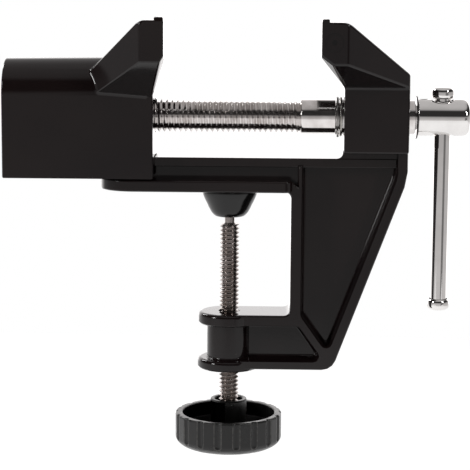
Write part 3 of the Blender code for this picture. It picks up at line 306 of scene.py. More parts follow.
def makeDust():
    # a few specks, each a small round cell of a wide grid that only sometimes holds one
    group, start, end = newGroup("dustSpecks", {"Scale": 260, "Size": 0.1}, ("Specks",))
    place = group.nodes.new("ShaderNodeTexCoord").outputs["Object"]
    cells = group.nodes.new("ShaderNodeTexVoronoi")
    group.links.new(place, cells.inputs["Vector"])
    group.links.new(start.outputs["Scale"], cells.inputs["Scale"])
    near = mathNode(group, "LESS_THAN", cells.outputs["Distance"], start.outputs["Size"])
    picked = mathNode(group, "GREATER_THAN", cells.outputs["Color"], dustShape["picked"])
    group.links.new(mathNode(group, "MULTIPLY", near, picked), end.inputs["Specks"])
    return group


fineGrain = makeGrain()
hairlines = makeHairlines()
dustSpecks = makeDust()


# Finishes

def newMaterial(name, colour, roughness, metallic=0.0):
    material = bpy.data.materials.new(name)
    material.use_nodes = True
    shader = material.node_tree.nodes["Principled BSDF"]
    shader.inputs["Base Color"].default_value = (*colour, 1)
    shader.inputs["Roughness"].default_value = roughness
    shader.inputs["Metallic"].default_value = metallic
    return material, material.node_tree, shader


def addGroup(tree, group, **values):
    node = tree.nodes.new("ShaderNodeGroup")
    node.node_tree = group
    for label, value in values.items():
        node.inputs[label].default_value = value
    return node.outputs


def mixColours(tree, factor, first, second):
    node = tree.nodes.new("ShaderNodeMix")
    node.data_type = "RGBA"
    tree.links.new(factor, node.inputs["Factor"])
    for socket, value in ((node.inputs[6], first), (node.inputs[7], second)):    # the node's colour inputs
        if isinstance(value, bpy.types.NodeSocket):
            tree.links.new(value, socket)
        else:
            socket.default_value = (*value, 1)
    return node.outputs[2]


def addBump(tree, shader, height, depth):
    bump = tree.nodes.new("ShaderNodeBump")
    bump.inputs["Distance"].default_value = depth * mm
    tree.links.new(height, bump.inputs["Height"])
    tree.links.new(bump.outputs["Normal"], shader.inputs["Normal"])


enamelLook = {
    "colour": (0.0058, 0.0032, 0.0035),
    "thin": (0.0088, 0.0054, 0.0052),    # where the coat is thinner and browner
    "dust": (0.05, 0.048, 0.045),
    "dustScale": 330,
    "dustSize": 0.05,
    "shine": (0.09, 0.14),
    "specular": 0.29,
    "peelScale": 420,
    "peelDepth": 0.004,
}


def enamel():
    # gloss black enamel on a casting: a faint orange peel, a slightly uneven coat and a few specks
    look = enamelLook
    material, tree, shader = newMaterial("blackEnamel", look["colour"], look["shine"][0])
    shader.inputs["Specular IOR Level"].default_value = look["specular"]
    grain = addGroup(tree, fineGrain, Scale=look["peelScale"])
    coat = mixColours(tree, grain["Patches"], look["colour"], look["thin"])
    dust = addGroup(tree, dustSpecks, Scale=look["dustScale"], Size=look["dustSize"])
    tree.links.new(mixColours(tree, dust["Specks"], coat, look["dust"]), shader.inputs["Base Color"])
    tree.links.new(between(tree, grain["Patches"], *look["shine"]), shader.inputs["Roughness"])
    addBump(tree, shader, grain["Height"], look["peelDepth"])
    return material


# The colour and the tint that it varies to, the roughness between its marks and on them,
# how finely the hairlines are set along X, Y and Z, and how deep they are
metalLooks = {
    "milledFace": {
        "colour": (0.86, 0.86, 0.86), "tint": (0.78, 0.78, 0.77), "shine": (0.2, 0.32),
        "lines": (300, 900, 4200), "depth": 0.006,
    },
    "screwPlating": {
        "colour": (0.7, 0.675, 0.665), "tint": (0.56, 0.53, 0.515), "shine": (0.1, 0.24), "depth": 0.002,
    },
    "polishedChrome": {
        "colour": (0.73, 0.715, 0.705), "tint": (0.68, 0.665, 0.655), "shine": (0.045, 0.09),
        "depth": 0.0006,
    },
    "dullZinc": {
        "colour": (0.35, 0.32, 0.31), "tint": (0.24, 0.21, 0.195), "shine": (0.22, 0.42), "depth": 0.006,
    },
    "springSteel": {"colour": (0.3, 0.29, 0.28), "tint": (0.2, 0.19, 0.18), "shine": (0.25, 0.4)},
    "darkRim": {"colour": (0.05, 0.046, 0.045), "tint": (0.03, 0.028, 0.027), "shine": (0.3, 0.45)},
    "turnedSteel": {"colour": (0.5, 0.48, 0.45), "tint": (0.4, 0.38, 0.35), "shine": (0.25, 0.4)},
}
metalPatches = 2500    # the scale of a metal's grain and patches


def metal(name, colour, tint, shine, lines=(6000, 150, 150), depth=0.003):
    # bare or plated metal: colour and shine vary along its hairlines and in broad patches
    material, tree, shader = newMaterial(name, colour, shine[0], 1.0)
    marks = addGroup(tree, hairlines, AlongX=lines[0], AlongY=lines[1], AlongZ=lines[2])
    patches = addGroup(tree, fineGrain, Scale=metalPatches)
    tree.links.new(mixColours(tree, patches["Patches"], colour, tint), shader.inputs["Base Color"])
    markMask = mathNode(tree, "MULTIPLY", marks["Marks"], patches["Height"])
    tree.links.new(between(tree, markMask, *shine), shader.inputs["Roughness"])
    addBump(tree, shader, marks["Height"], depth)
    return material


mouldedLooks = {
    "padBlack": {
        "colour": (0.005, 0.0049, 0.005), "dusty": (0.008, 0.0078, 0.0078), "shine": (0.16, 0.22),
        "specular": 0.34, "scale": 1500, "depth": 0.003,
    },
    "knobBlack": {
        "colour": (0.008, 0.0078, 0.0077), "dusty": (0.0115, 0.0112, 0.011), "shine": (0.26, 0.36),
        "specular": 0.36, "scale": 2600, "depth": 0.006,
    },
}
mouldedDust = {"scale": 420, "size": 0.06, "paler": 5}


def moulded(name, colour, dusty, shine, specular, scale, depth):
    # moulded black plastic with a fine grain, duller patches and a trace of dust
    material, tree, shader = newMaterial(name, colour, shine[0])
    shader.inputs["Specular IOR Level"].default_value = specular
    grain = addGroup(tree, fineGrain, Scale=scale)
    dust = addGroup(tree, dustSpecks, Scale=mouldedDust["scale"], Size=mouldedDust["size"])
    patchy = mixColours(tree, grain["Patches"], colour, dusty)
    speck = [part * mouldedDust["paler"] for part in dusty]
    tree.links.new(mixColours(tree, dust["Specks"], patchy, speck), shader.inputs["Base Color"])
    tree.links.new(between(tree, grain["Patches"], *shine), shader.inputs["Roughness"])
    addBump(tree, shader, grain["Height"], depth)
    return material


blackEnamel = enamel()
metals = {name: metal(name, **look) for name, look in metalLooks.items()}
padBlack = moulded("padBlack", **mouldedLooks["padBlack"])
print("materials made")


# The two castings: the CAD's shape with flat faces, soft edges and the milled clamping faces bare

castingLook = {
    "crease": {"flats": 24, "any": 50, "wide": 0.65},
    "milledMoving": -18.5,    # where the two clamping faces stand along X
    "milledFixed": 26.3,
    "milledReach": 0.02,
    "milledFacing": 0.99,
    "neckLow": (-60, -30, 27.5),     # the box that holds the join of the moving head and its arch
    "neckHigh": (-24, 30, 45),
    "neckFillet": 0.7,
    "neckSegments": 3,
    "neckAngle": 15,    # inner corners sharper than this, in degrees, are rounded
}


def inNeck(edge):
    low, high = castingLook["neckLow"], castingLook["neckHigh"]
    sides = [zip(low, vert.co, high) for vert in edge.verts]
    return all(small * mm < value < large * mm for side in sides for small, value, large in side)


def filletNeck(bm):
    # a casting has no sharp inner corners: this rounds the join of the head and the arch
    flat = [edge for edge in bm.edges if inNeck(edge) and edge.calc_face_angle(0) < flatAngle]
    bmesh.ops.dissolve_edges(bm, edges=flat, use_verts=False)
    sharp = math.radians(castingLook["neckAngle"])
    join = []
    for edge in bm.edges:
        if inNeck(edge) and not edge.is_convex and edge.calc_face_angle(0) > sharp:
            join.append(edge)
    bmesh.ops.bevel(
        bm, geom=join, offset=castingLook["neckFillet"] * mm, segments=castingLook["neckSegments"],
        profile=0.5, affect="EDGES", material=-1, clamp_overlap=False,
    )
    bmesh.ops.recalc_face_normals(bm, faces=bm.faces)
    return bm


def casting(name, bm, node, body, milledX, side):
    # side is the way that the milled clamping face looks along X
    piece = makePiece(name, bm)
    piece.data.materials.clear()
    piece.data.materials.append(blackEnamel)
    piece.data.materials.append(metals["milledFace"])
    for face in piece.data.polygons:
        level = abs(face.center.x - milledX * mm) < castingLook["milledReach"] * mm
        faces = face.normal.x * side > castingLook["milledFacing"]
        face.material_index = 1 if level and faces else 0
    return dress(piece, body, [node], blackEnamel, castingLook["crease"])


movingShape = filletNeck(merged("moving_jaw"))
casting("movingJawCasting", movingShape, "moving_jaw", "jaw", castingLook["milledMoving"], 1)
casting("frameCasting", merged("clamp_frame"), "clamp_frame", "frame", castingLook["milledFixed"], -1)
print("castings made")


# Screws with real helical threads

leadThread = {"pitch": 1.5875, "crest": 5.0, "root": 4.1, "perTurn": 48}
clampThread = {"pitch": 1.27, "crest": 2.97, "root": 2.24, "perTurn": 36}

# One pitch of a thread, as shares of its pitch and of its depth
threadOutline = (
    (0, 0), (0.05, 0), (0.1, 0.1), (0.44, 0.94), (0.48, 1),
    (0.52, 1), (0.56, 0.94), (0.9, 0.1), (0.95, 0), (1, 0),
)
threadStart = 1.27    # in turns before the end; not a whole number, so that the cut misses the outline
spareTurns = 3


def threadedRod(axis, centre, thread, low, high):
    # one turn of the thread, repeated along the axis and cut off square at both ends
    bm = bmesh.new()
    pitch, root = thread["pitch"], thread["root"]
    depth = thread["crest"] - root
    begin = Vector(centre) + axis * (low - pitch * threadStart) * mm
    out = outward(axis)
    verts = []
    for along, deep in threadOutline:
        verts.append(bm.verts.new(begin + axis * along * pitch * mm + out * (root + depth * deep) * mm))
    edges = [bm.edges.new(pair) for pair in zip(verts, verts[1:])]
    rise = axis * pitch * mm
    bmesh.ops.spin(
        bm, geom=verts + edges, cent=centre, axis=axis, dvec=rise / thread["perTurn"],
        angle=math.tau, steps=thread["perTurn"],
    )
    coil = bm.verts[:] + bm.edges[:] + bm.faces[:]
    for number in range(1, math.ceil((high - low) / pitch) + spareTurns):
        copy = bmesh.ops.duplicate(bm, geom=coil)["geom"]
        points = [item for item in copy if isinstance(item, bmesh.types.BMVert)]
        bmesh.ops.translate(bm, vec=rise * number, verts=points)
    bmesh.ops.remove_doubles(bm, verts=bm.verts, dist=mergeGap["thread"] * mm)
    for place, way in ((low, -1), (high, 1)):
        everything = bm.verts[:] + bm.edges[:] + bm.faces[:]
        end = Vector(centre) + axis * place * mm
        made = bmesh.ops.bisect_plane(
            bm, geom=everything, plane_co=end, plane_no=axis * way, clear_outer=True
        )
        rim = [item for item in made["geom_cut"] if isinstance(item, bmesh.types.BMEdge)]
        bmesh.ops.edgeloop_fill(bm, edges=rim)
    bmesh.ops.recalc_face_normals(bm, faces=bm.faces)
    return bm


spindle = {
    "height": 22.0,
    "left": -35.0,
    "leadIn": 0.9,
    "threadEnd": 20.2,
    "threadPast": 0.9,     # how far the thread runs on into the shank
    "core": 3.4,           # the shank's own end, inside the thread
    "throat": 3.8,
    "throatBack": 0.5,
    "overlap": 2,
    "runOut": 1.0,
    "shank": 5.04,
    "groove": (31.3, 32.5, 4.14),
    "shoulder": 54.95,
    "spigot": 3.5,
    "spigotEnd": 59.85,
    "edge": 0.15,
    "clear": 2,            # how far the lead-in's cutter reaches past the thread
}


def leadScrew():
    s = spindle
    centre = (0, 0, s["height"] * mm)
    left, leadIn, clear = s["left"], s["leadIn"], s["clear"]
    crest, end, full = leadThread["crest"], s["threadEnd"], s["shank"]
    piece = makePiece("leadScrew", threadedRod(xAxis, centre, leadThread, left, end + s["threadPast"]))
    cone = [(left - clear, crest - leadIn - clear), (left - clear, crest + clear)]
    cone.append((left + leadIn + clear, crest + clear))
    carve(piece, [turn(bmesh.new(), cone, xAxis, centre)])
    low, high, depth = s["groove"]
    shank = [(end - s["overlap"], 0), (end - s["overlap"], s["core"]), (end - s["throatBack"], s["throat"])]
    shank += [(end, full - s["runOut"]), (end + s["runOut"], full)]
    shank += [(low, full), (low, depth), (high, depth), (high, full)]
    shank += [(s["shoulder"], full), (s["shoulder"], s["spigot"])]
    shank += [(s["spigotEnd"], s["spigot"]), (s["spigotEnd"], 0)]
    bm = bmesh.new()
    bm.from_mesh(piece.data)
    turn(bm, softened(shank, s["edge"]), xAxis, centre)
    bm.to_mesh(piece.data)
    bm.free()
    return dress(piece, "spindle", ["vise_screw"], metals["screwPlating"])


clampRod = {
    "top": -10.5,
    "bottom": -74.4,
    "neck": 1.5,
    "neckRise": 0.4,
    "core": 1.9,
    "overlap": 1.2,
    "ball": 2.3,
    "ballCentre": -5.2,
    "ballSteps": 12,
    "segments": 40,
}


def clampScrew():
    s = clampRod
    bm = threadedRod(zAxis, (0, 0, 0), clampThread, s["bottom"], s["top"])
    ball, neck, top, core = s["ball"], s["neck"], s["top"], s["core"]
    profile = []
    for step in range(s["ballSteps"] + 1):
        angle = (math.pi - math.asin(neck / ball)) * step / s["ballSteps"]
        profile.append((s["ballCentre"] + ball * math.cos(angle), ball * math.sin(angle)))
    foot = top - s["overlap"]
    profile += [(top + s["neckRise"], neck), (top, core), (foot, core), (foot, 0)]
    turn(bm, profile, zAxis, (0, 0, 0), s["segments"])
    return dress(makePiece("clampScrew", bm), "clamp", ["clamp_screw"], metals["dullZinc"])


leadScrew()
clampScrew()
print("screws made")


# Hub, T-bar and caps in chrome

hub = {
    "left": 55.25,
    "right": 71.3,
    "radius": 5.52,
    "rimRadius": 6.35,       # the thin dark ring at the hub's inner end
    "rimWidth": 0.42,
    "rimSlope": 0.25,
    "rimFrom": 0.15,         # only the ring stands this far past the hub's side
    "edge": 0.12,
    "endRound": 2.5,
    "endReach": 6,           # how much of the hub's length its outer end may round
    "socketDepth": 4.9,
    "socketRadius": 3.8,
    "bar": 63.275,           # the T-bar's axis, and its bore with a spot face at both sides
    "bore": 2.7,
    "spot": 3.65,
    "flat": 4.92,
    "pin": 2.3,              # the cross pin's axis, from the hub's inner end
    "pinHole": 1.3,
    "clear": 2,
    "segments": 72,
    "endSteps": 8,
    "barSegments": 48,
    "pinSegments": 32,
}


def spindleHub():
    centre = (0, 0, spindle["height"] * mm)
    left, right, radius = hub["left"], hub["right"], hub["radius"]
    deep, socket = left + hub["socketDepth"], hub["socketRadius"]
    rim, rimEnd = hub["rimRadius"], left + hub["rimWidth"]
    roundFrom = (right - hub["endReach"], radius)
    side = [(left, socket), (left, rim), (rimEnd, rim), (rimEnd + hub["rimSlope"], radius), roundFrom]
    inner = softened(side, hub["edge"])
    outer = softened([roundFrom, (right, radius), (right, 0)], hub["endRound"], hub["endSteps"])
    profile = [(deep, 0), (deep, socket), (left, socket)] + inner[1:] + outer[1:]
    piece = makePiece("spindleHub", turn(bmesh.new(), profile, xAxis, centre, hub["segments"]))
    barCentre = (hub["bar"] * mm, 0, spindle["height"] * mm)
    flat, spot, bore = hub["flat"], hub["spot"], hub["bore"]
    reach = radius + hub["clear"]
    stepped = [(-reach, 0), (-reach, spot), (-flat, spot), (-flat, bore), (flat, bore), (flat, spot)]
    stepped += [(reach, spot), (reach, 0)]
    pinCentre = ((left + hub["pin"]) * mm, 0, spindle["height"] * mm)
    barHole = turn(bmesh.new(), stepped, zAxis, barCentre, hub["barSegments"])
    pinHole = rod(zAxis, pinCentre, hub["pinHole"], -reach, reach, hub["pinSegments"])
    carve(piece, [barHole, pinHole])
    piece.data.materials.clear()
    piece.data.materials.append(metals["polishedChrome"])
    piece.data.materials.append(metals["darkRim"])
    for face in piece.data.polygons:
        out = math.hypot(face.center.y, face.center.z - centre[2])
        face.material_index = 1 if out > (radius + hub["rimFrom"]) * mm else 0
    return dress(piece, "spindle", ["spindle_hub"], metals["polishedChrome"])


crossPin = {"half": 4.82, "radius": 1.0, "edge": 0.3}


def hubPin():
    half, radius = crossPin["half"], crossPin["radius"]
    profile = softened([(-half, 0), (-half, radius), (half, radius), (half, 0)], crossPin["edge"])
    centre = ((hub["left"] + hub["pin"]) * mm, 0, spindle["height"] * mm)
    bm = turn(bmesh.new(), profile, zAxis, centre, hub["pinSegments"])
    return dress(makePiece("hubPin", bm), "spindle", ["hub_pin"], metals["turnedSteel"])


bar = {
    "radius": 2.4,
    "edge": 0.2,
    "capRadius": 3.35,
    "capSquareness": 3.2,    # 2 makes a cap a ball, and more makes it a squarer barrel
    "capSteps": 28,
    "capBore": 2.6,
    "capGap": 0.3,
    "segments": 48,
}


def tBar():
    low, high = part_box("handle_bar")
    bottom, top, radius = low.z / mm, high.z / mm, bar["radius"]
    profile = softened([(bottom, 0), (bottom, radius), (top, radius), (top, 0)], bar["edge"])
    bm = turn(bmesh.new(), profile, zAxis, (hub["bar"] * mm, 0, 0), bar["segments"])
    return dress(makePiece("tBar", bm), "handle", ["handle_bar"], metals["polishedChrome"])


def barCap(name, node, way):
    low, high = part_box(node)
    inner, outer = (low.z / mm, high.z / mm) if way > 0 else (high.z / mm, low.z / mm)
    bore = bar["radius"] + bar["capGap"]
    floor = inner + way * bar["capBore"]
    middle, half, power = (inner + outer) / 2, abs(outer - inner) / 2, bar["capSquareness"]
    profile = [(floor, 0), (floor, bore)]
    for step in range(1, bar["capSteps"] + 1):
        share = -math.cos(math.pi * step / bar["capSteps"])
        radius = bar["capRadius"] * max(0.0, 1 - abs(share) ** power) ** (1 / power)
        if radius > bore or share > 0:
            profile.append((middle + way * half * share, radius))
    bm = turn(bmesh.new(), profile, zAxis, (hub["bar"] * mm, 0, 0), bar["segments"])
    return dress(makePiece(name, bm), "handle", [node], metals["polishedChrome"])


spindleHub()
hubPin()
tBar()
barCap("upperCap", "upper_cap", 1)
barCap("lowerCap", "lower_cap", -1)
print("hub and T-bar made")


# Clip, washer, nut and the small parts that the castings hide: CAD node, body, finish and broken edge

smallParts = {
    "retainingClip": ("retaining_clip", "spindle", "springSteel", 0.1),
    "clipWasher": ("clip_washer", "spindle", "turnedSteel", 0.05),
    "jawNut": ("jaw_nut", "jaw", "turnedSteel", 0.12),
    "nutPin": ("nut_pin", "jaw", "turnedSteel", 0.08),
    "padRetainer": ("pad_retainer", "pad", "springSteel", 0.1),
    "knobInsert": ("knob_insert", "clamp", "turnedSteel", 0.1),
    "knobScrew": ("knob_screw", "clamp", "dullZinc", 0.1),
}
brokenAngle = 50    # edges sharper than this, in degrees, are broken


def softCopy(name, node, body, finish, edge):
    # a CAD piece that is already right, with its edges broken
    bm = merged(node)
    corners = [item for item in bm.edges if item.calc_face_angle(0) > math.radians(brokenAngle)]
    bmesh.ops.bevel(
        bm, geom=corners, offset=edge * mm, segments=2, profile=0.5, affect="EDGES", material=-1,
        clamp_overlap=True,
    )
    return dress(makePiece(name, bm), body, [node], metals[finish])


for name, values in smallParts.items():
    softCopy(name, *values)
print("small parts made")


# Clamp pad and knob

pad = {
    "top": -0.3,
    "height": 7.9,
    "radius": 8.3,
    "rim": ((0, 0.4), (0.12, 0.08), (0.5, 0)),    # drop from the top and inset from the radius
    # drop from the top and share of the radius
    "side": ((1.2, 0.985), (2.4, 0.925), (4.0, 0.83), (5.4, 0.75), (6.6, 0.67), (7.4, 0.585), (7.8, 0.52)),
    "foot": 0.48,
    "mouth": 3.3,
    "ledge": 1.6,
    "socket": 2.6,
    "socketSteps": 8,
    "ballCentre": -5.2,
    "segments": 72,
}


def clampPad():
    top, radius, socket = pad["top"], pad["radius"], pad["socket"]
    bottom = top - pad["height"]
    profile = [(top, 0)] + [(top - drop, radius - inset) for drop, inset in pad["rim"]]
    profile += [(top - drop, radius * share) for drop, share in pad["side"]]
    profile += [(bottom, radius * pad["foot"]), (bottom, pad["mouth"])]
    profile += [(bottom + pad["ledge"], pad["mouth"]), (bottom + pad["ledge"], socket)]
    for step in range(pad["socketSteps"] + 1):
        angle = math.pi / 2 * step / pad["socketSteps"]
        profile.append((pad["ballCentre"] + socket * math.sin(angle), socket * math.cos(angle)))
    bm = turn(bmesh.new(), profile, zAxis, (0, 0, 0), pad["segments"])
    return dress(makePiece("clampPad", bm), "pad", ["clamp_pad"], padBlack)


knobShape = {
    "top": -68.5,
    "bottom": -79.0,
    "radius": 16.2,
    "wall": 2.1,
    "lip": ((0, 0.5), (0.15, 0.2), (0.5, 0)),    # drop from the top and inset from the radius
    "lipFlat": 0.55,
    "lipInside": ((0.3, 0), (0.1, 0.15)),        # drop from the top and step out from the inner wall
    "sideEnd": -75.8,
    "sideRows": 14,
    "footRadius": 11.2,
    "footRows": 12,
    "hollow": 9,           # how far out the foot's flat underside starts
    "head": (-76.6, 3.7),    # the level and radius of the screw head's seat
    "headEdge": 0.25,
    "screwHole": 1.8,
    "insert": (-75.3, 4.3),    # the level and radius of the metal insert's bore
    "floor": -75.4,
    "floorRise": 2,
    "hub": 5.5,
    "hubTop": -64.3,
    "innerEdge": 0.5,
    "flutes": 18,
    "fluteWidth": 2.2,
    "fluteDepth": 0.5,
    "fluteEnd": -75.7,
    "fluteEdge": 0.05,    # how softly a flute's edge turns into the side
    "fluteFade": 1.5,     # in half widths; there is no flute further out
    "fluteSteps": 32,
    "pressSide": 0.3,         # the flutes are pressed in from this far outside the inner wall
    "pressFoot": (0.5, 10),   # and, this far below the floor, from this radius outwards
    "pressLip": (0.4, 0.6),   # the drop over which they fade on the lip, and the flat left outside
}


def fluteDepthAt(place):
    # how deep the flutes are at a point of the knob's side: round-bottomed, with a round lower end
    k = knobShape
    pitch = math.tau / k["flutes"]
    angle = math.atan2(place.y, place.x)
    across = (angle - round(angle / pitch) * pitch) * k["radius"]
    below = min(0, place.z / mm - k["fluteEnd"])
    share = min(k["fluteFade"], math.hypot(across, below) / (k["fluteWidth"] / 2))
    depth = k["fluteDepth"] * (1 - share * share)
    edge = k["fluteEdge"]
    return (depth + math.sqrt(depth * depth + edge * edge)) / 2


def knobProfile():
    # the cup's outline, from its rim down the side, under the foot and up inside
    k = knobShape
    top, bottom, radius = k["top"], k["bottom"], k["radius"]
    inner = radius - k["wall"]
    sideTop = top - k["lip"][-1][0]
    outside = [(top, inner + k["lipFlat"])] + [(top - drop, radius - inset) for drop, inset in k["lip"]]
    for step in range(1, k["sideRows"] + 1):
        outside.append((sideTop + (k["sideEnd"] - sideTop) * step / k["sideRows"], radius))
    for step in range(1, k["footRows"] + 1):
        angle = math.pi / 2 * step / k["footRows"]
        reach = k["footRadius"] + (radius - k["footRadius"]) * math.cos(angle)
        outside.append((bottom + (k["sideEnd"] - bottom) * (1 - math.sin(angle)), reach))
    seat, head = k["head"]
    bore, insert = k["insert"]
    hole, floor = k["screwHole"], k["floor"]
    under = [(bottom, k["hollow"]), (bottom, head), (seat, head), (seat, hole), (bore, hole)]
    hubTop, hubRadius, rise = k["hubTop"], k["hub"], k["floorRise"]
    corners = [(bore, hole), (bore, insert), (hubTop, insert), (hubTop, hubRadius), (floor, hubRadius)]
    corners += [(floor, inner - rise), (floor + rise, inner), (top, inner)]
    inside = softened(corners, k["innerEdge"])[1:-1]
    inside += [(top - drop, inner + step) for drop, step in k["lipInside"]]
    return outside + softened(under, k["headEdge"]) + inside


def knobCup():
    # one flute's share of the cup is spun, its side is pressed in, and it is repeated all round
    k = knobShape
    inner = k["radius"] - k["wall"]
    footDrop, footFrom = k["pressFoot"]
    lipDrop, lipOuter = k["pressLip"]
    bm = bmesh.new()
    verts = [bm.verts.new((reach * mm, 0, height * mm)) for height, reach in knobProfile()]
    edges = [bm.edges.new(pair) for pair in zip(verts, verts[1:] + verts[:1])]
    share = math.tau / k["flutes"]
    bmesh.ops.spin(
        bm, geom=verts + edges, cent=(0, 0, 0), axis=zAxis, angle=share, steps=k["fluteSteps"]
    )
    for vert in bm.verts:
        flat = Vector((vert.co.x, vert.co.y, 0))
        reach, height = flat.length / mm, vert.co.z / mm
        onSide = reach > inner + k["pressSide"]
        onFoot = height < k["floor"] - footDrop and reach > footFrom
        if onSide or onFoot:
            depth = fluteDepthAt(vert.co)
            if height > k["top"] - lipDrop:    # on the lip the flutes fade out towards the inside
                depth *= max(0, min(1, (reach - inner) / (k["wall"] - lipOuter)))
            vert.co -= flat.normalized() * depth * mm
    wall = bm.verts[:] + bm.edges[:] + bm.faces[:]
    bmesh.ops.spin(
        bm, geom=wall, cent=(0, 0, 0), axis=zAxis, angle=math.tau, steps=k["flutes"],
        use_duplicate=True, use_merge=True,
    )
    bmesh.ops.remove_doubles(bm, verts=bm.verts, dist=mergeGap["fluted"] * mm)
    bmesh.ops.recalc_face_normals(bm, faces=bm.faces)
    return dress(makePiece("knobCup", bm), "clamp", ["knob"], knobPlastic())


# a paler colour along the outline of each flute of the knob
knobPaleOutline = {
    "colour": (0.085, 0.082, 0.078),
    "line": 0.26,            # the width of the pale line to each side of a flute's outline
    "reach": (1.2, 0.4),     # it fades in between these depths under the side
    "grainScale": 900,
    "grain": (0.35, 0.6),
    "least": 0.2,
}


def lengthNode(tree, first, second):
    squares = [mathNode(tree, "MULTIPLY", part, part) for part in (first, second)]
    return mathNode(tree, "SQRT", mathNode(tree, "ADD", *squares))


def knobPlastic():
    # the knob's black plastic, made paler along the outline of each flute
    k, paleEdge = knobShape, knobPaleOutline
    material = moulded("knobBlack", **mouldedLooks["knobBlack"])
    tree = material.node_tree
    base = tree.nodes["Principled BSDF"].inputs["Base Color"]
    split = tree.nodes.new("ShaderNodeSeparateXYZ")
    tree.links.new(tree.nodes.new("ShaderNodeTexCoord").outputs["Object"], split.inputs[0])
    x, y, z = (split.outputs[axis] for axis in "XYZ")
    pitch = math.tau / k["flutes"]
    bearing = mathNode(tree, "ADD", mathNode(tree, "ARCTAN2", y, x), math.tau + pitch / 2)
    across = mathNode(tree, "SUBTRACT", mathNode(tree, "MODULO", bearing, pitch), pitch / 2)
    across = mathNode(tree, "MULTIPLY", across, k["radius"] * mm)
    below = mathNode(tree, "MINIMUM", mathNode(tree, "SUBTRACT", z, k["fluteEnd"] * mm), 0.0)
    half = k["fluteWidth"] / 2 * mm
    away = mathNode(tree, "ABSOLUTE", mathNode(tree, "SUBTRACT", lengthNode(tree, across, below), half))
    line = between(tree, away, 1, 0, 0, paleEdge["line"] * mm, smoothly=True)
    start, end = ((k["radius"] - deep) * mm for deep in paleEdge["reach"])
    side = between(tree, lengthNode(tree, x, y), 0, 1, start, end)
    grain = addGroup(tree, fineGrain, Scale=paleEdge["grainScale"])
    broken = between(tree, grain["Height"], paleEdge["least"], 1, *paleEdge["grain"])
    markMask = mathNode(tree, "MULTIPLY", mathNode(tree, "MULTIPLY", line, side), broken)
    plain = base.links[0].from_socket
    tree.links.new(mixColours(tree, markMask, plain, paleEdge["colour"]), base)
    return material


clampPad()
knobCup()
print("pad and knob made")


# Stage: pale floor, a studio round it, soft lights and the camera. These are in metres.

stageSize = {"floor": -0.25, "half": 1.0, "colour": 0.5, "roughness": 0.9, "glow": 0.72}


def paleFloor():
    bm = bmesh.new()
    bmesh.ops.create_grid(bm, x_segments=1, y_segments=1, size=stageSize["half"])
    bmesh.ops.translate(bm, vec=(0, 0, stageSize["floor"]), verts=bm.verts)
    material, tree, shader = newMaterial("paleFloor", [stageSize["colour"]] * 3, stageSize["roughness"])
    shader.inputs["Specular IOR Level"].default_value = 0
    shader.inputs["Emission Color"].default_value = (1, 1, 1, 1)
    path = tree.nodes.new("ShaderNodeLightPath")
    seen = mathNode(tree, "MAXIMUM", path.outputs["Is Camera Ray"], path.outputs["Is Glossy Ray"])
    seen = mathNode(tree, "MAXIMUM", seen, path.outputs["Is Transmission Ray"])
    shown = mathNode(tree, "MULTIPLY", seen, stageSize["glow"])
    tree.links.new(shown, shader.inputs["Emission Strength"])
    floor = makePiece("floor", bm)
    floor.data.materials.append(material)


# Brightness of the studio by the sine of the height, where the object's reflections look
surround = {
    "front": (
        (-1, 0.75), (-0.22, 0.72), (-0.08, 0.54), (0.05, 0.48),
        (0.2, 0.035), (0.68, 0.035), (0.82, 0.5), (1, 0.62),
    ),
    "behind": ((-1, 0.8), (-0.3, 0.9), (-0.18, 2.0), (0.35, 2.0), (0.55, 0.7), (1, 0.62)),
    "scale": 2.0,
    "warmth": (1.015, 0.99, 0.985),
    "behindFrom": 0.45,
    "behindTo": 0.85,
    # a dark panel on the right: from and to, in radians from the front, and its level
    "flag": (0.37, 0.9, 0.2),
    "flagEdge": 0.06,
    "flagTop": (0.0, 0.1),    # it ends upwards between these sines of the height
}


def heightRamp(tree, height, stops):
    ramp = tree.nodes.new("ShaderNodeValToRGB")
    elements = ramp.color_ramp.elements
    while len(elements) < len(stops):
        elements.new(0.5)    # placed below
    for element, (place, level) in zip(elements, stops):
        element.position = (place + 1) / 2
        element.color = (*[level / surround["scale"]] * 3, 1)
    tree.links.new(between(tree, height, 0, 1, -1, 1), ramp.inputs["Fac"])
    return ramp.outputs["Color"]


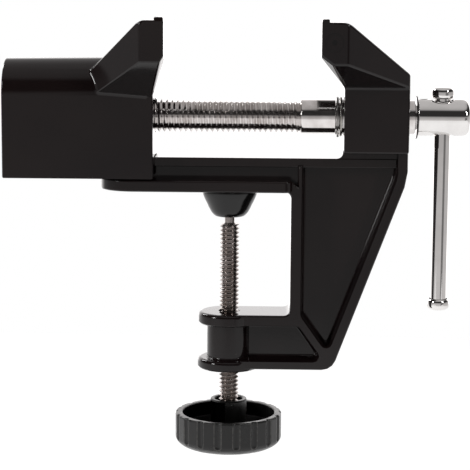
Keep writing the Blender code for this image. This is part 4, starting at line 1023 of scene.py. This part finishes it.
def studioWorld():
    # a bright backdrop behind the object, a dark room in front, a pale table below and a soft ceiling
    world = bpy.data.worlds.new("studio")
    bpy.context.scene.world = world
    world.use_nodes = True
    tree = world.node_tree
    light = tree.nodes["Background"]
    split = tree.nodes.new("ShaderNodeSeparateXYZ")
    tree.links.new(tree.nodes.new("ShaderNodeTexCoord").outputs["Generated"], split.inputs[0])
    x, y, z = (split.outputs[axis] for axis in "XYZ")
    front = heightRamp(tree, z, surround["front"])
    behind = heightRamp(tree, z, surround["behind"])
    flatLength = mathNode(tree, "SQRT", mathNode(tree, "SUBTRACT", 1.0, mathNode(tree, "MULTIPLY", z, z)))
    turned = mathNode(tree, "DIVIDE", y, mathNode(tree, "MAXIMUM", flatLength, 0.001))
    share = between(tree, turned, 0, 1, surround["behindFrom"], surround["behindTo"], smoothly=True)
    around = mixColours(tree, share, front, behind)
    bearing = mathNode(tree, "ARCTAN2", x, mathNode(tree, "MULTIPLY", y, -1.0))
    start, end, level = surround["flag"]
    edge = surround["flagEdge"]
    rise = between(tree, bearing, 0, 1, start - edge, start + edge, smoothly=True)
    fall = between(tree, bearing, 1, 0, end - edge, end + edge, smoothly=True)
    low = between(tree, z, 1, 0, *surround["flagTop"], smoothly=True)
    flag = mathNode(tree, "MULTIPLY", mathNode(tree, "MULTIPLY", rise, fall), low)
    around = mixColours(tree, flag, around, [level / surround["scale"]] * 3)
    warm = tree.nodes.new("ShaderNodeMix")
    warm.data_type, warm.blend_type = "RGBA", "MULTIPLY"
    warm.inputs["Factor"].default_value = 1
    warm.inputs[7].default_value = (*surround["warmth"], 1)
    tree.links.new(around, warm.inputs[6])
    path = tree.nodes.new("ShaderNodeLightPath")
    white = [1 / surround["scale"]] * 3
    shown = mixColours(tree, path.outputs["Is Camera Ray"], warm.outputs[2], white)
    tree.links.new(shown, light.inputs["Color"])
    light.inputs["Strength"].default_value = surround["scale"]


softLights = {
    "leftWindow": {"place": (-0.75, -0.42, 0.32), "size": (0.12, 0.3), "power": 3.6},
    "rightWindow": {"place": (0.62, -0.5, 0.42), "size": (0.09, 0.3), "power": 2.6},
    "leftRim": {"place": (-0.62, 0.5, 0.5), "size": (0.1, 0.3), "power": 2.2},
}


def addLight(name, place, size, power):
    lamp = bpy.data.lights.new(name, "AREA")
    lamp.shape = "RECTANGLE"
    lamp.size, lamp.size_y = size
    lamp.energy = power
    light = bpy.data.objects.new(name, lamp)
    bpy.context.scene.collection.objects.link(light)
    light.location = place
    light.rotation_euler = (-Vector(place)).to_track_quat("-Z", "Y").to_euler()    # towards the object


photoView = {
    "place": (0.012098, -0.493388, 0.056353),
    "turn": (81.885, -0.397, 1.272),    # degrees
    "focal": 1650,                      # in pixels of the photograph
    "frame": 470,
    "sensor": 36,
    "near": 0.01,
}


def photoCamera():
    data = bpy.data.cameras.new("photoCamera")
    data.sensor_width = photoView["sensor"]
    data.lens = photoView["focal"] * photoView["sensor"] / photoView["frame"]
    data.clip_start = photoView["near"]
    camera = bpy.data.objects.new("photoCamera", data)
    bpy.context.scene.collection.objects.link(camera)
    camera.location = photoView["place"]
    camera.rotation_euler = Euler([math.radians(angle) for angle in photoView["turn"]], "XYZ")
    bpy.context.scene.camera = camera


paleFloor()
studioWorld()
for name, values in softLights.items():
    addLight(name, **values)
photoCamera()
bpy.context.scene.view_settings.view_transform = "Standard"
print("stage made")
